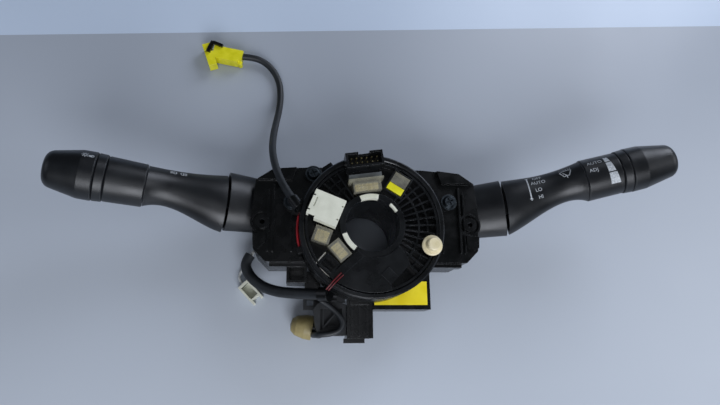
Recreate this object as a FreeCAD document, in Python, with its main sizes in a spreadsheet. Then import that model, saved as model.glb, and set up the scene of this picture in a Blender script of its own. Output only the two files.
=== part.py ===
import FreeCAD, Part
import math
import os
import Sketcher
from FreeCAD import Placement, Rotation, Vector

# Column switch assembly with spiral cable and steering angle sensor.
# Millimetres and degrees. The origin is the middle of the column bore at the rear face,
# +Z runs along the column towards the driver, +X points along the right lever and
# +Y is up on the car.

os.makedirs("parts", exist_ok=True)
doc = FreeCAD.newDocument("ColumnSwitch")

SIZES = {
    # Base moulding
    "column_bore": 22.8,
    "base_depth": 50.0,
    "rear_web": 20.0,
    "front_plate": 2.5,
    "rear_plate": 12.0,
    "wing_reach": 84.5,
    "wing_top": 49.0,
    "wing_bottom": 22.0,
    "wing_inner": 43.0,
    "base_round": 2.0,
    "swing_floor": 11.5,
    "boss_x": 76.5,
    "boss_y": 6.3,
    "boss_radius": 5.0,
    "boss_height": 3.0,
    "pilot_radius": 1.9,
    "core_depth": 8.0,
    "core_width": 9.0,
    "core_pitch": 12.0,
    "skirt_left": 58.5,
    "skirt_right": 44.0,
    "skirt_drop": 36.0,
    # Lever switch cases
    "case_inner": 48.0,
    "case_outer": 69.0,
    "case_middle": 23.0,
    "case_height": 40.0,
    "case_cover": 6.6,
    "case_wall": 2.0,
    "case_clearance": 0.3,
    "board_thickness": 1.2,
    # Yokes and lever hinges
    "yoke_x": 60.0,
    "yoke_hub": 8.0,
    "trunnion": 3.0,
    "running_fit": 0.05,
    "arm_width": 15.6,
    "arm_thickness": 10.0,
    "arm_end": 37.6,
    "fork_start": 24.5,
    "stem_width": 10.2,
    "stem_thickness": 7.0,
    "stem_length": 32.0,
    "hinge_arm": 33.5,
    "hinge_pin": 2.0,
    # Levers
    "lever_rise": 17.0,
    "lever_height": 31.0,
    "lever_reference": 85.0,
    "shroud_start": 19.3,
    "shroud_half_width": 20.7,
    "shroud_half_depth": 14.4,
    "shroud_wall": 1.8,
    "shroud_spread": 1.5,
    "flare_half_width": 21.5,
    "flare_half_depth": 15.5,
    "flare_wall": 2.0,
    "bell_depth": 11.0,
    "waist_half_width": 14.6,
    "waist_half_depth": 11.7,
    "spigot": 9.0,
    "spindle": 5.0,
    "spindle_length": 16.0,
    "ring_gap": 0.3,
    "fixed_ring_width": 6.2,
    "fixed_ring_radius": 16.4,
    "knob_radius": 16.9,
    "knob_tip": 11.6,
    "knob_round": 6.5,
    # Spiral cable case
    "ring_radius": 50.5,
    "ring_floor": 44.0,
    "ring_top": 76.0,
    "ring_wall": 1.8,
    "floor_thickness": 2.2,
    "cover_width": 3.7,
    "cover_height": 4.0,
    "ear_radius": 6.5,
    "ear_thickness": 2.5,
    "screw_radius": 2.1,
    "screw_head": 4.8,
    "screw_head_height": 2.4,
    "screw_length": 7.2,
    "washer_radius": 6.0,
    "washer_thickness": 0.9,
    "ribbon_inner": 27.5,
    "ribbon_margin": 3.2,
    "ribbon_turns": 5,
    "ribbon_thickness": 0.7,
    "ribbon_height": 15.0,
    # Rotor
    "hub_bore": 18.7,
    "sleeve_radius": 21.2,
    "sleeve_bottom": 24.0,
    "drum_radius": 24.0,
    "drum_gap": 0.4,
    "hub_rim": 22.6,
    "hub_top": 75.8,
    "cam_wall": 0.6,
    "cam_radius": 20.6,
    "cam_bottom": 49.7,
    "lip_height": 1.6,
    "disc_bottom": 66.0,
    "disc_face": 68.6,
    "disc_clearance": 0.5,
    "rim_wall": 1.5,
    "rim_top": 75.0,
    "rib_thickness": 1.1,
    "rib_pitch": 8.0,
    "rib_count": 13,
    "pad_width": 22.4,
    # Sector cover and what the rotor carries
    "sector_thickness": 1.2,
    "connector_wall": 1.5,
    "connector_pin": 0.45,
    "pin_inset": 3.3,
    "pin_angle": -19.2,
    "pin_boss": 3.5,
    "pin_shank": 2.45,
    "pin_flange": 7.1,
    "pin_knob": 4.9,
    "pin_height": 8.0,
    # Steering angle sensor
    "sensor_bottom": 21.0,
    "sensor_seam": 38.0,
    "sensor_top": 43.0,
    "sensor_radius": 43.0,
    "sensor_wall": 1.6,
    "sensor_left": 4.2,
    "sensor_right": 46.3,
    "sensor_drop": 55.0,
    "sensor_upper": 8.0,
    "tooth_module": 1.6,
    "hub_teeth": 34,
    "first_teeth": 12,
    "second_teeth": 13,
    "gear_bottom": 23.6,
    "gear_thickness": 4.0,
    "backlash": 0.35,
    "gear_pin": 2.4,
    "magnet_radius": 3.4,
    "magnet_height": 2.0,
    "board_level": 33.0,
    "label_thickness": 0.3,
    # Lower connector and harness
    "socket_left": 15.0,
    "socket_right": 3.8,
    "socket_top": 42.0,
    "socket_bottom": 22.0,
    "socket_drop": 75.0,
    "socket_reach": 48.0,
    "socket_wall": 1.6,
    "long_lead_radius": 2.75,
    "sleeve_lead_radius": 4.0,
    "thin_lead_radius": 1.0,
    "wire_radius": 0.8,
}


class Size(float):
    """A dimension that keeps the sheet formula it was worked out from."""

    formula = ""

    def __add__(self, other):
        return combined(self, "+", other)

    def __radd__(self, other):
        return combined(other, "+", self)

    def __sub__(self, other):
        return combined(self, "-", other)

    def __rsub__(self, other):
        return combined(other, "-", self)

    def __mul__(self, other):
        return combined(self, "*", other)

    def __rmul__(self, other):
        return combined(other, "*", self)

    def __truediv__(self, other):
        return combined(self, "/", other)

    def __neg__(self):
        return combined(0.0, "-", self)


def formula_of(value):
    return value.formula if isinstance(value, Size) else "(%s)" % repr(float(value))


def combined(left, sign, right):
    first, second = float(left), float(right)
    if sign == "+":
        result = Size(first + second)
    elif sign == "-":
        result = Size(first - second)
    elif sign == "*":
        result = Size(first * second)
    else:
        result = Size(first / second)
    result.formula = "(%s %s %s)" % (formula_of(left), sign, formula_of(right))
    return result


class Sheet:
    """The spreadsheet of driving dimensions, read as attributes."""

    def __init__(self, values):
        cells = doc.addObject("Spreadsheet::Sheet", "Sizes")
        for row, (name, value) in enumerate(values.items(), 1):
            cells.set("A%d" % row, name)
            cells.set("B%d" % row, str(value))
            cells.setAlias("B%d" % row, name)
            size = Size(value)
            size.formula = "Sizes." + name
            setattr(self, name, size)


d = Sheet(SIZES)
doc.recompute()

# Sizes that follow from the others
d.case_bottom = d.rear_plate + d.case_clearance
d.case_top = d.base_depth - d.case_cover
d.inner_radius = d.ring_radius - d.ring_wall
d.cover_inner = d.ring_radius - d.cover_width
d.disc_radius = d.inner_radius - d.disc_clearance
d.rim_radius = d.cover_inner - d.disc_clearance
d.pin_orbit = d.rim_radius - d.pin_inset
d.ribbon_pitch = (d.inner_radius - d.ribbon_margin - d.ribbon_inner) / d.ribbon_turns
d.pocket_orbit = d.rim_radius - 11.3
d.connector_foot = d.rim_radius - 6.1
d.connector_head = d.rim_radius - 2.4
d.bridge_middle = d.connector_foot - 5.8
pieces = {}
RIGHT, LEFT = 1, -1


# Helpers that make one bound feature each

def bind(feature, **settings):
    for name, value in settings.items():
        setattr(feature, name, float(value))
        if isinstance(value, Size):
            feature.setExpression(name, value.formula)


def place(feature, at=(0, 0, 0), turn=None):
    feature.Placement = Placement(Vector(*[float(v) for v in at]), turn or Rotation())
    for axis, value in zip("xyz", at):
        if isinstance(value, Size):
            feature.setExpression(".Placement.Base." + axis, value.formula)
    return feature


def finish(label, feature):
    feature.Label = label
    pieces[label] = feature
    return feature


def cylinder(name, radius, height, at=(0, 0, 0), turn=None, sweep=360):
    feature = doc.addObject("Part::Cylinder", name)
    bind(feature, Radius=radius, Height=height, Angle=sweep)
    return place(feature, at, turn)


def block(name, length, width, height, at=(0, 0, 0), turn=None):
    feature = doc.addObject("Part::Box", name)
    bind(feature, Length=length, Width=width, Height=height)
    return place(feature, at, turn)


def middle_block(name, length, width, height, at, turn=None):
    """A box whose middle in length and width is at the given place."""
    spin = turn or Rotation()
    corner = Vector(*[float(v) for v in at]) + spin.multVec(Vector(-length / 2, -width / 2, 0))
    feature = block(name, length, width, height)
    feature.Placement = Placement(corner, spin)
    return feature


def cut(name, base, *tools):
    result = base
    for number, tool in enumerate(tools, 1):
        feature = doc.addObject("Part::Cut", "%s_cut%d" % (name, number))
        feature.Base = result
        feature.Tool = tool
        result = feature
    return result


def fuse(name, *shapes):
    feature = doc.addObject("Part::MultiFuse", name)
    feature.Shapes = list(shapes)
    feature.Refine = True
    return feature


def common(name, first, second):
    feature = doc.addObject("Part::MultiCommon", name)
    feature.Shapes = [first, second]
    return feature


def ellipse(name, half_width, half_depth, frame, along, aside=0.0, yaw=0.0):
    """An elliptical section across the local X axis of a frame."""
    feature = doc.addObject("Part::Ellipse", name)
    bind(feature, MajorRadius=half_width, MinorRadius=half_depth)
    face_out = Rotation(Vector(0, 0, 1), yaw) * Rotation(Vector(0, 1, 0), 90) * Rotation(Vector(0, 0, 1), 90)
    feature.Placement = frame.multiply(Placement(Vector(float(along), float(aside), 0), face_out))
    return feature


def loft(name, sections):
    feature = doc.addObject("Part::Loft", name)
    feature.Sections = sections
    feature.Solid = True
    feature.Ruled = False
    return feature


def new_body(name):
    return doc.addObject("PartDesign::Body", name)


def sketch_on(body, role, name, lift=0.0):
    sketch = body.newObject("Sketcher::SketchObject", name)
    plane = [plane for plane in body.Origin.OriginFeatures if plane.Role == role][0]
    sketch.AttachmentSupport = (plane, [""])
    sketch.MapMode = "FlatFace"
    sketch.AttachmentOffset = Placement(Vector(0, 0, float(lift)), Rotation())
    if isinstance(lift, Size):
        sketch.setExpression("AttachmentOffset.Base.z", lift.formula)
    return sketch


def pin_point(sketch, edge, end, x, y):
    """Ties one end of a sketch edge to a place measured from the origin."""
    for kind, value, axis in (("DistanceX", x, -2), ("DistanceY", y, -1)):
        if float(value) == 0.0 and not isinstance(value, Size):
            sketch.addConstraint(Sketcher.Constraint("PointOnObject", edge, end, axis))
            continue
        index = sketch.addConstraint(Sketcher.Constraint(kind, -1, 1, edge, end, float(value)))
        if isinstance(value, Size):
            sketch.setExpression("Constraints[%d]" % index, value.formula)


def polygon(sketch, points):
    count = len(points)
    first = sketch.GeometryCount
    for index, (x, y) in enumerate(points):
        following = points[(index + 1) % count]
        start = Vector(float(x), float(y), 0)
        end = Vector(float(following[0]), float(following[1]), 0)
        sketch.addGeometry(Part.LineSegment(start, end), False)
    for index in range(count):
        after = (index + 1) % count
        sketch.addConstraint(Sketcher.Constraint("Coincident", first + index, 2, first + after, 1))
    for index, (x, y) in enumerate(points):
        pin_point(sketch, first + index, 1, x, y)


def pad(body, name, points, bottom, height):
    sketch = sketch_on(body, "XY_Plane", name + "_outline", bottom)
    polygon(sketch, points)
    feature = body.newObject("PartDesign::Pad", name)
    feature.Profile = sketch
    bind(feature, Length=height)
    sketch.Visibility = False
    return feature


def turned(name, profile, sweep=360.0):
    """A body turned about its own Z axis from (radius, level) points."""
    body = new_body(name)
    sketch = sketch_on(body, "XZ_Plane", name + "_profile")
    polygon(sketch, profile)
    feature = body.newObject("PartDesign::Revolution", name + "_turned")
    feature.Profile = sketch
    feature.ReferenceAxis = (sketch, ["V_Axis"])
    bind(feature, Angle=sweep)
    return body


def round_edges(body, name, radius, wanted):
    """A fillet on the edges of the body's tip for which wanted(edge) is true."""
    doc.recompute()
    sharp = body.Tip
    edges = ["Edge%d" % i for i, edge in enumerate(sharp.Shape.Edges, 1) if wanted(edge)]
    feature = body.newObject("PartDesign::Fillet", name)
    feature.Base = (sharp, edges)
    bind(feature, Radius=radius)
    return feature


def upright(edge):
    """True for a straight edge along Z."""
    if len(edge.Vertexes) != 2:
        return False
    low, high = edge.Vertexes[0].Point, edge.Vertexes[1].Point
    return abs(low.x - high.x) < 0.001 and abs(low.y - high.y) < 0.001


def polar(radius, angle):
    return (float(radius) * math.cos(math.radians(angle)), float(radius) * math.sin(math.radians(angle)))


# Frames along the two levers

class Lever:
    """Where one lever's pieces lie. Local X runs out along the lever and local Y runs up the car."""

    def __init__(self, side, pivot_y, inner_angle, outer_angle, joint_x, joint_y):
        self.side = side
        self.name = "right" if side == RIGHT else "left"
        self.pivot_y = pivot_y
        self.inner = self.frame(d.yoke_x, pivot_y, inner_angle)
        self.outer = self.frame(joint_x, joint_y, outer_angle)
        self.yaw = inner_angle - outer_angle

    def frame(self, reach, y, angle):
        level = d.lever_height + (reach - d.lever_reference) * math.tan(math.radians(d.lever_rise))
        flip = Rotation(Vector(1, 0, 0), 0 if self.side == RIGHT else 180)
        heading = angle if self.side == RIGHT else 180 - angle
        turn = Rotation(Vector(0, 0, 1), heading) * Rotation(Vector(0, 1, 0), -d.lever_rise) * flip
        return Placement(Vector(self.side * float(reach), float(y), float(level)), turn)


def along(frame, distance):
    """The frame of a turned piece whose own Z axis runs out along a lever."""
    return frame.multiply(Placement(Vector(float(distance), 0, 0), Rotation(Vector(0, 1, 0), 90)))


def in_frame(frame, length, width, height, start, name):
    """A box centred on a lever's axis in width and height, from a start distance outwards."""
    feature = block(name, length, width, height)
    feature.Placement = frame.multiply(Placement(Vector(float(start), -width / 2, -height / 2), Rotation()))
    return feature


left = Lever(LEFT, 22.5, 3.0, 5.2, 158.5, 30.3)
right = Lever(RIGHT, 19.5, 5.0, 11.5, 167.5, 41.8)
left.shroud_end, right.shroud_end = 46.4, 51.2
left.flare_start, right.flare_start = -55.1, -61.3
left.flare_offset, right.flare_offset = -2.7, -6.2
left.waist_start, right.waist_start = -25.0, -32.0
left.waist_offset, right.waist_offset = 0.5, -1.9
left.joint_radius, right.joint_radius = 14.6, 15.5
left.ring_width, right.ring_width = 25.4, 26.4
left.knob_length, right.knob_length = 31.0, 35.0


# Switch base

def wing_outline():
    half = [(d.wing_inner, d.wing_top), (d.wing_reach - 14.5, d.wing_top - 2.0),
            (d.wing_reach - 2.0, d.wing_top - 10.5), (d.wing_reach, d.wing_top - 35.0),
            (d.wing_reach - 2.0, 9.0 - d.wing_bottom), (d.wing_reach - 11.0, -d.wing_bottom)]
    return half + [(-x, y) for x, y in reversed(half)]


def switch_base():
    body = new_body("base_block")
    pad(body, "base_pad", wing_outline(), 0.0, d.base_depth)
    round_edges(body, "base_rounds", d.base_round, upright)
    well = cylinder("ring_well", d.ring_radius + 0.5, d.base_depth, (0, 0, d.ring_floor - 0.3))
    chamber = cylinder("sensor_chamber", d.sensor_radius + 0.6, d.base_depth, (0, 0, d.rear_web))
    lobe = block("lobe_chamber", d.sensor_right - d.sensor_left + 0.8, d.sensor_drop, d.base_depth,
                 (d.sensor_left - 0.4, -d.sensor_drop - d.sensor_upper + 0.4, d.rear_web))
    bore = cylinder("column_bore_tool", d.column_bore, d.base_depth * 2, (0, 0, -d.base_depth))
    removed = [well, chamber, lobe, bore]
    added = []
    for side in (LEFT, RIGHT):
        removed += wing_openings(side)
        added += wing_details(side)
    added += [skirt()]
    solid = cut("switch_base_open", body, fuse("base_openings", *removed))
    whole = fuse("switch_base_whole", solid, *added)
    finish("switch_base", cut("switch_base", whole, fuse("base_holes", *base_holes())))


def wing_openings(side):
    """Slot for the switch case, room for the lever to swing and the cored rear face."""
    tag = "right" if side == RIGHT else "left"
    reach = d.wing_reach - d.case_inner + 10.0
    slot = across("%s_case_slot" % tag, side, d.case_inner - d.case_clearance, reach,
                  d.case_middle - d.case_height / 2 - d.case_clearance, d.case_height + d.case_clearance * 2,
                  d.rear_plate, d.case_top + d.case_clearance - d.rear_plate)
    room = across("%s_swing_room" % tag, side, d.case_outer + 0.6, reach,
                  -d.swing_floor, d.wing_top * 2, d.rear_plate, d.base_depth - d.front_plate - d.rear_plate)
    cores = []
    for column in range(2):
        for row in range(4):
            cores.append(across("%s_core_%d%d" % (tag, column, row), side,
                                d.case_inner + 6.0 + column * d.core_pitch, d.core_width,
                                row * d.core_pitch - 12.0, d.core_width, 0.0, d.core_depth))
    return [slot, room] + cores


def across(name, side, start, length, bottom, width, level, height):
    """A box in one wing, measured outwards from the column."""
    corner = start if side == RIGHT else -start - length
    return block(name, length, width, height, (corner, bottom, level))


def wing_details(side):
    """Bosses, the raised shoulder block, ribs and corner guard on the front face."""
    tag = "right" if side == RIGHT else "left"
    boss = cylinder("%s_boss" % tag, d.boss_radius, d.boss_height + d.front_plate,
                    (side * d.boss_x, d.boss_y, d.base_depth - d.front_plate))
    shoulder = new_body("%s_shoulder" % tag)
    pad(shoulder, "%s_shoulder_pad" % tag,
        [(side * (d.wing_inner + 10.0), d.wing_top - 1.2), (side * (d.wing_inner + 13.0), d.wing_top - 11.0),
         (side * (d.wing_reach - 3.2), d.wing_top - 11.0), (side * (d.wing_reach - 14.5), d.wing_top - 3.0)],
        d.base_depth, 3.5)
    guard = new_body("%s_guard" % tag)
    pad(guard, "%s_guard_pad" % tag,
        [(side * (d.wing_reach - 11.0), -1.5), (side * (d.wing_reach - 1.4), -2.5),
         (side * (d.wing_reach - 2.0), -11.0), (side * (d.wing_reach - 5.5), -13.5),
         (side * (d.wing_reach - 11.0), -8.0)],
        d.base_depth, 3.0)
    tall_rib = across("%s_tall_rib" % tag, side, d.case_outer - 0.6, 1.4, -15.0, 50.0, d.base_depth, 2.6)
    short_rib = across("%s_short_rib" % tag, side, d.case_outer + 3.0, 1.2, -15.0, 46.0, d.base_depth, 2.0)
    lip = across("%s_lip" % tag, side, d.case_inner, 23.0, -d.wing_bottom - 2.6, 2.6, d.rear_web + 16.0, 8.0)
    collar = cut("%s_collar" % tag,
                 cylinder("%s_collar_outer" % tag, d.boss_radius + 3.6, 2.0, (side * d.boss_x, d.boss_y, d.base_depth)),
                 cylinder("%s_collar_inner" % tag, d.boss_radius + 2.2, 9.0, (side * d.boss_x, d.boss_y, d.base_depth - 3.0)))
    shelf = across("%s_shelf" % tag, side, d.wing_inner + 12.0, 1.2, -15.0, 28.0, d.base_depth, 1.4)
    return [boss, shoulder, guard, tall_rib, short_rib, lip, collar, shelf]


def skirt():
    """Walled channel below the left wing that guides the harness."""
    width = d.skirt_left - d.skirt_right
    depth = d.skirt_drop - d.wing_bottom
    outer = block("skirt_outer", width, depth, 23.5, (-d.skirt_left, -d.skirt_drop, d.rear_web))
    inner = block("skirt_inner", width - 4.0, depth - 5.0, 30.0, (2.0 - d.skirt_left, 2.0 - d.skirt_drop, d.rear_web + 3.0))
    return cut("skirt", outer, inner)


# Angle about the column and distance beyond the ring of each case screw
SCREW_PLACES = [(159.29, 9.16), (20.96, 14.93), (133.28, 8.57)]


def screw_spots():
    return [polar(d.ring_radius + beyond, angle) for angle, beyond in SCREW_PLACES]


def base_holes():
    holes = []
    for number, side in enumerate((LEFT, RIGHT), 1):
        holes.append(cylinder("boss_hole_%d" % number, d.pilot_radius, d.base_depth,
                              (side * d.boss_x, d.boss_y, d.rear_plate)))
    for number, (x, y) in enumerate(screw_spots(), 1):
        holes.append(cylinder("screw_hole_%d" % number, d.screw_radius + 0.1, 8.0,
                              (x, y, d.base_depth - d.screw_length + 1.9)))
    return holes


# Lever switch: case, board, yoke, hinge pin and shroud

def switch_case(lever):
    name = "%s_switch_case" % lever.name
    bottom = d.case_middle - d.case_height / 2
    outer = across(name + "_outer", lever.side, d.case_inner, d.case_outer - d.case_inner,
                   bottom, d.case_height, d.case_bottom, d.case_top - d.case_bottom)
    inner = across(name + "_inner", lever.side, d.case_inner + d.case_wall, d.case_outer - d.case_inner,
                   bottom + d.case_wall, d.case_height - d.case_wall * 2, d.case_bottom + d.case_wall,
                   d.case_top - d.case_bottom - d.case_wall * 2)
    bearing = cylinder(name + "_bearing", d.trunnion + d.running_fit, d.base_depth,
                       (lever.side * d.yoke_x, lever.pivot_y, 0.0))
    finish(name, cut(name, outer, inner, bearing))


def contact_board(lever):
    name = "%s_contact_board" % lever.name
    bottom = d.case_middle - d.case_height / 2 + d.case_wall + 0.5
    plate = across(name + "_plate", lever.side, d.case_inner + d.case_wall, d.board_thickness,
                   bottom, d.case_height - d.case_wall * 2 - 1.0, d.case_bottom + d.case_wall,
                   d.case_top - d.case_bottom - d.case_wall * 2 - 0.5)
    tracks = [plate]
    for number in range(3):
        tracks.append(across("%s_track%d" % (name, number), lever.side,
                             d.case_inner + d.case_wall + d.board_thickness, 0.2,
                             bottom + 4.0, d.case_height - d.case_wall * 2 - 9.0,
                             d.case_bottom + 6.0 + number * 7.0, 3.0))
    finish(name, fuse(name, *tracks))


def yoke(lever):
    name = "%s_yoke" % lever.name
    x = lever.side * d.yoke_x
    y = lever.pivot_y
    hub_bottom = d.case_bottom + d.case_wall + 0.5
    hub = cylinder(name + "_hub", d.yoke_hub, d.case_top - d.case_bottom - d.case_wall * 2 - 1.0, (x, y, hub_bottom))
    trunnion = cylinder(name + "_trunnion", d.trunnion, d.case_top - d.case_bottom - 0.6, (x, y, d.case_bottom + 0.3))
    arm = in_frame(lever.inner, d.arm_end, d.arm_width, d.arm_thickness, 0.0, name + "_arm")
    slot = in_frame(lever.inner, d.arm_end, d.stem_width + 0.6, d.arm_thickness * 2, d.fork_start, name + "_slot")
    hole = cylinder(name + "_pin_hole", d.hinge_pin + 0.02, d.arm_width * 2)
    hole.Placement = across_hinge(lever, d.arm_width)
    finish(name, cut(name, fuse(name + "_whole", hub, trunnion, arm), slot, hole))


def across_hinge(lever, reach):
    """The frame of a pin through the fork, its Z axis along the lever's local Y."""
    turn = Rotation(Vector(1, 0, 0), -90)
    return lever.inner.multiply(Placement(Vector(float(d.hinge_arm), -float(reach), 0), turn))


def hinge_pin(lever):
    name = "%s_hinge_pin" % lever.name
    pin = cylinder(name, d.hinge_pin, d.arm_width + 1.6)
    pin.Placement = across_hinge(lever, d.arm_width / 2 + 0.8)
    finish(name, pin)


def shroud(lever):
    name = "%s_shroud" % lever.name
    end = lever.shroud_end
    outer = loft(name + "_outer", [
        ellipse(name + "_out1", d.shroud_half_width, d.shroud_half_depth, lever.inner, d.shroud_start),
        ellipse(name + "_out2", d.shroud_half_width + d.shroud_spread, d.shroud_half_depth + d.shroud_spread, lever.inner, end)])
    inner = loft(name + "_inner", [
        ellipse(name + "_in1", d.shroud_half_width - d.shroud_wall, d.shroud_half_depth - d.shroud_wall,
                lever.inner, d.shroud_start + 2.0),
        ellipse(name + "_in2", d.shroud_half_width + d.shroud_spread - d.shroud_wall,
                d.shroud_half_depth + d.shroud_spread - d.shroud_wall, lever.inner, end + 1.0)])
    window = in_frame(lever.inner, 10.0, d.arm_width, d.arm_thickness, d.shroud_start - 4.0, name + "_window")
    finish(name, cut(name, outer, inner, window))


# Lever, ring, fixed ring and knob

def lever_body(lever):
    name = "%s_lever" % lever.name
    start = lever.flare_start
    outer = loft(name + "_outer", [
        ellipse(name + "_sec1", d.flare_half_width, d.flare_half_depth, lever.outer, start, lever.flare_offset, lever.yaw),
        ellipse(name + "_sec2", d.flare_half_width - 1.9, d.flare_half_depth - 0.8, lever.outer, start + 9.0,
                lever.flare_offset * 0.86, lever.yaw),
        ellipse(name + "_sec3", d.waist_half_width, d.waist_half_depth, lever.outer, lever.waist_start, lever.waist_offset),
        ellipse(name + "_sec4", lever.joint_radius, lever.joint_radius - 0.01, lever.outer, 0.0)])
    bell = loft(name + "_bell", [
        ellipse(name + "_bell1", d.flare_half_width - d.flare_wall, d.flare_half_depth - d.flare_wall,
                lever.outer, start - 0.5, lever.flare_offset, lever.yaw),
        ellipse(name + "_bell2", d.flare_half_width - d.flare_wall - 3.2, d.flare_half_depth - d.flare_wall - 1.6,
                lever.outer, start + d.bell_depth, lever.flare_offset * 0.8, lever.yaw)])
    shell = cut(name + "_shell", outer, bell)
    stem = in_frame(lever.inner, d.stem_length, d.stem_width, d.stem_thickness, d.hinge_arm, name + "_stem")
    eye = cylinder(name + "_eye", d.stem_thickness / 2, d.stem_width)
    eye.Placement = across_hinge(lever, d.stem_width / 2)
    hole = cylinder(name + "_eye_hole", d.hinge_pin + d.running_fit, d.stem_width * 2)
    hole.Placement = across_hinge(lever, d.stem_width)
    spigot = cylinder(name + "_spigot", d.spigot, lever.ring_width + d.ring_gap * 2 + d.fixed_ring_width + 1.5)
    spigot.Placement = along(lever.outer, -1.5)
    whole = fuse(name + "_whole", shell, stem, eye, spigot)
    bore = cylinder(name + "_bore", d.spindle + d.running_fit, d.spindle_length + 2.0)
    bore.Placement = along(lever.outer, lever.ring_width + d.ring_gap * 2 + d.fixed_ring_width - d.spindle_length - 1.0)
    finish(name, cut(name, whole, hole, bore))


def ring(lever, label):
    """The ring that turns on the lever's spigot."""
    body = turned(label, [
        (d.spigot + d.running_fit, 0.0), (lever.joint_radius + 0.2, 0.0), (lever.joint_radius + 0.7, 0.8),
        (d.fixed_ring_radius - 0.5, lever.ring_width - 0.8), (d.fixed_ring_radius - 0.9, lever.ring_width),
        (d.spigot + d.running_fit, lever.ring_width)])
    body.Placement = along(lever.outer, d.ring_gap)
    finish(label, body)


def fixed_ring(lever):
    label = "%s_fixed_ring" % lever.name
    body = turned(label, [
        (d.spigot + 0.02, 0.0), (d.fixed_ring_radius - 0.5, 0.0), (d.fixed_ring_radius, 0.6),
        (d.fixed_ring_radius + 0.3, d.fixed_ring_width - 0.6), (d.fixed_ring_radius - 0.2, d.fixed_ring_width),
        (d.spigot + 0.02, d.fixed_ring_width)])
    body.Placement = along(lever.outer, d.ring_gap * 2 + lever.ring_width)
    finish(label, body)


def knob(lever, label):
    length = lever.knob_length
    body = turned(label, [
        (0.0, -d.spindle_length), (d.spindle, -d.spindle_length), (d.spindle, 0.0),
        (d.knob_radius - 0.6, 0.0), (d.knob_radius, 0.8), (d.knob_radius - 0.2, length * 0.3),
        (d.knob_tip, length), (0.0, length)])
    round_edges(body, label + "_round", d.knob_round, lambda edge: edge.CenterOfMass.z > length - 0.5
                and edge.BoundBox.XLength > d.knob_tip)
    body.Placement = along(lever.outer, d.ring_gap * 3 + lever.ring_width + d.fixed_ring_width)
    finish(label, body)


# Routes of the two free leads

LONG_ROUTE = [(-55.0, 17.6, 73.6), (-59.9, 25.2, 70.2), (-64.2, 34.2, 65.6), (-68.0, 44.8, 60.4),
                (-70.6, 56.0, 54.0), (-71.8, 68.0, 45.0), (-71.8, 81.4, 34.0), (-71.0, 96.2, 20.8),
                (-69.6, 111.6, 9.6), (-68.6, 127.0, 3.6), (-69.6, 141.0, 2.85), (-74.6, 153.0, 3.0),
                (-83.2, 161.2, 4.4), (-93.0, 164.4, 6.0), (-102.4, 164.4, 6.2)]
SLEEVE_ROUTE = [(-34.5, -44.6, 47.5), (-41.6, -44.0, 42.4), (-49.6, -43.1, 36.8), (-57.9, -42.1, 31.0),
                (-66.0, -40.5, 25.4), (-74.0, -37.6, 20.4), (-81.2, -33.2, 16.6), (-86.9, -27.6, 14.0),
                (-90.2, -21.8, 12.9), (-90.4, -16.2, 12.6), (-87.4, -11.4, 12.3)]


# Spiral cable: case, cover ring, ribbon and screws

GLAND_ROOT = 2.0

def gland(name, route, radius):
    """A round outlet whose face meets the start of a lead squarely and whose root is sunk in the case wall."""
    start = Vector(*route[0])
    length = math.hypot(start.x, start.y) - d.ring_radius + GLAND_ROOT
    inward = (start - Vector(*route[1])).normalize()
    feature = cylinder(name, radius, length)
    feature.Placement = Placement(start, Rotation(Vector(0, 0, 1), inward))
    return feature


def stator_case():
    shell = turned("stator_shell", [
        (d.sleeve_radius + 0.08, d.ring_floor), (d.ring_radius, d.ring_floor),
        (d.ring_radius, d.ring_top - d.cover_height), (d.inner_radius, d.ring_top - d.cover_height),
        (d.inner_radius, d.ring_floor + d.floor_thickness),
        (d.sleeve_radius + 0.08, d.ring_floor + d.floor_thickness)])
    parts = [shell]
    holes = []
    for number, (angle, beyond) in enumerate(SCREW_PLACES, 1):
        x, y = polar(d.ring_radius + beyond, angle)
        reach = beyond + 1.0
        parts.append(cylinder("ear_%d" % number, d.ear_radius, d.ear_thickness, (x, y, d.base_depth)))
        middle = polar(d.ring_radius - 1.0 + reach / 2, angle)
        parts.append(middle_block("ear_web_%d" % number, reach, d.ear_radius * 1.7, d.ear_thickness,
                                  (middle[0], middle[1], d.base_depth), Rotation(Vector(0, 0, 1), angle)))
        holes.append(cylinder("ear_hole_%d" % number, d.screw_radius + 0.25, 10.0, (x, y, d.base_depth - 2.0)))
    spike = polar(d.ring_radius + 1.0, 126.0)
    parts.append(middle_block("latch_tab", 5.0, 7.0, 13.0, (spike[0], spike[1], d.base_depth + 9.0),
                              Rotation(Vector(0, 0, 1), 126.0)))
    parts.append(gland("sleeve_gland", SLEEVE_ROUTE, d.sleeve_lead_radius + 1.2))
    parts.append(gland("lead_gland", LONG_ROUTE, d.long_lead_radius + 1.3))
    parts.append(middle_block("wire_grommet", 3.4, 4.4, 6.4, (*polar(d.ring_radius + 1.5, 197.6), d.base_depth + 5.6),
                              Rotation(Vector(0, 0, 1), 197.6)))
    tower = middle_block("outlet_tower", 8.0, 7.0, 14.0, (*polar(d.ring_radius + 1.8, 166.5), d.base_depth + 12.0),
                         Rotation(Vector(0, 0, 1), 166.5))
    parts.append(tower)
    inside = cylinder("stator_inside", d.inner_radius, 26.0, (0, 0, d.ring_floor + d.floor_thickness))
    above = cylinder("stator_above", d.ring_radius + 1.4, 20.0, (0, 0, d.ring_top - d.cover_height))
    whole = cut("stator_whole", fuse("stator_parts", *parts), above)
    finish("stator_case", cut("stator_case", whole, inside, fuse("ear_holes", *holes)))


def stator_cover():
    inner = d.cover_inner
    bottom = d.ring_top - d.cover_height
    finish("stator_cover", turned("stator_cover", [
        (inner, bottom), (d.ring_radius, bottom), (d.ring_radius, d.ring_top - 0.8),
        (d.ring_radius - 0.8, d.ring_top), (inner + 0.6, d.ring_top), (inner, d.ring_top - 0.6)]))


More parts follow.
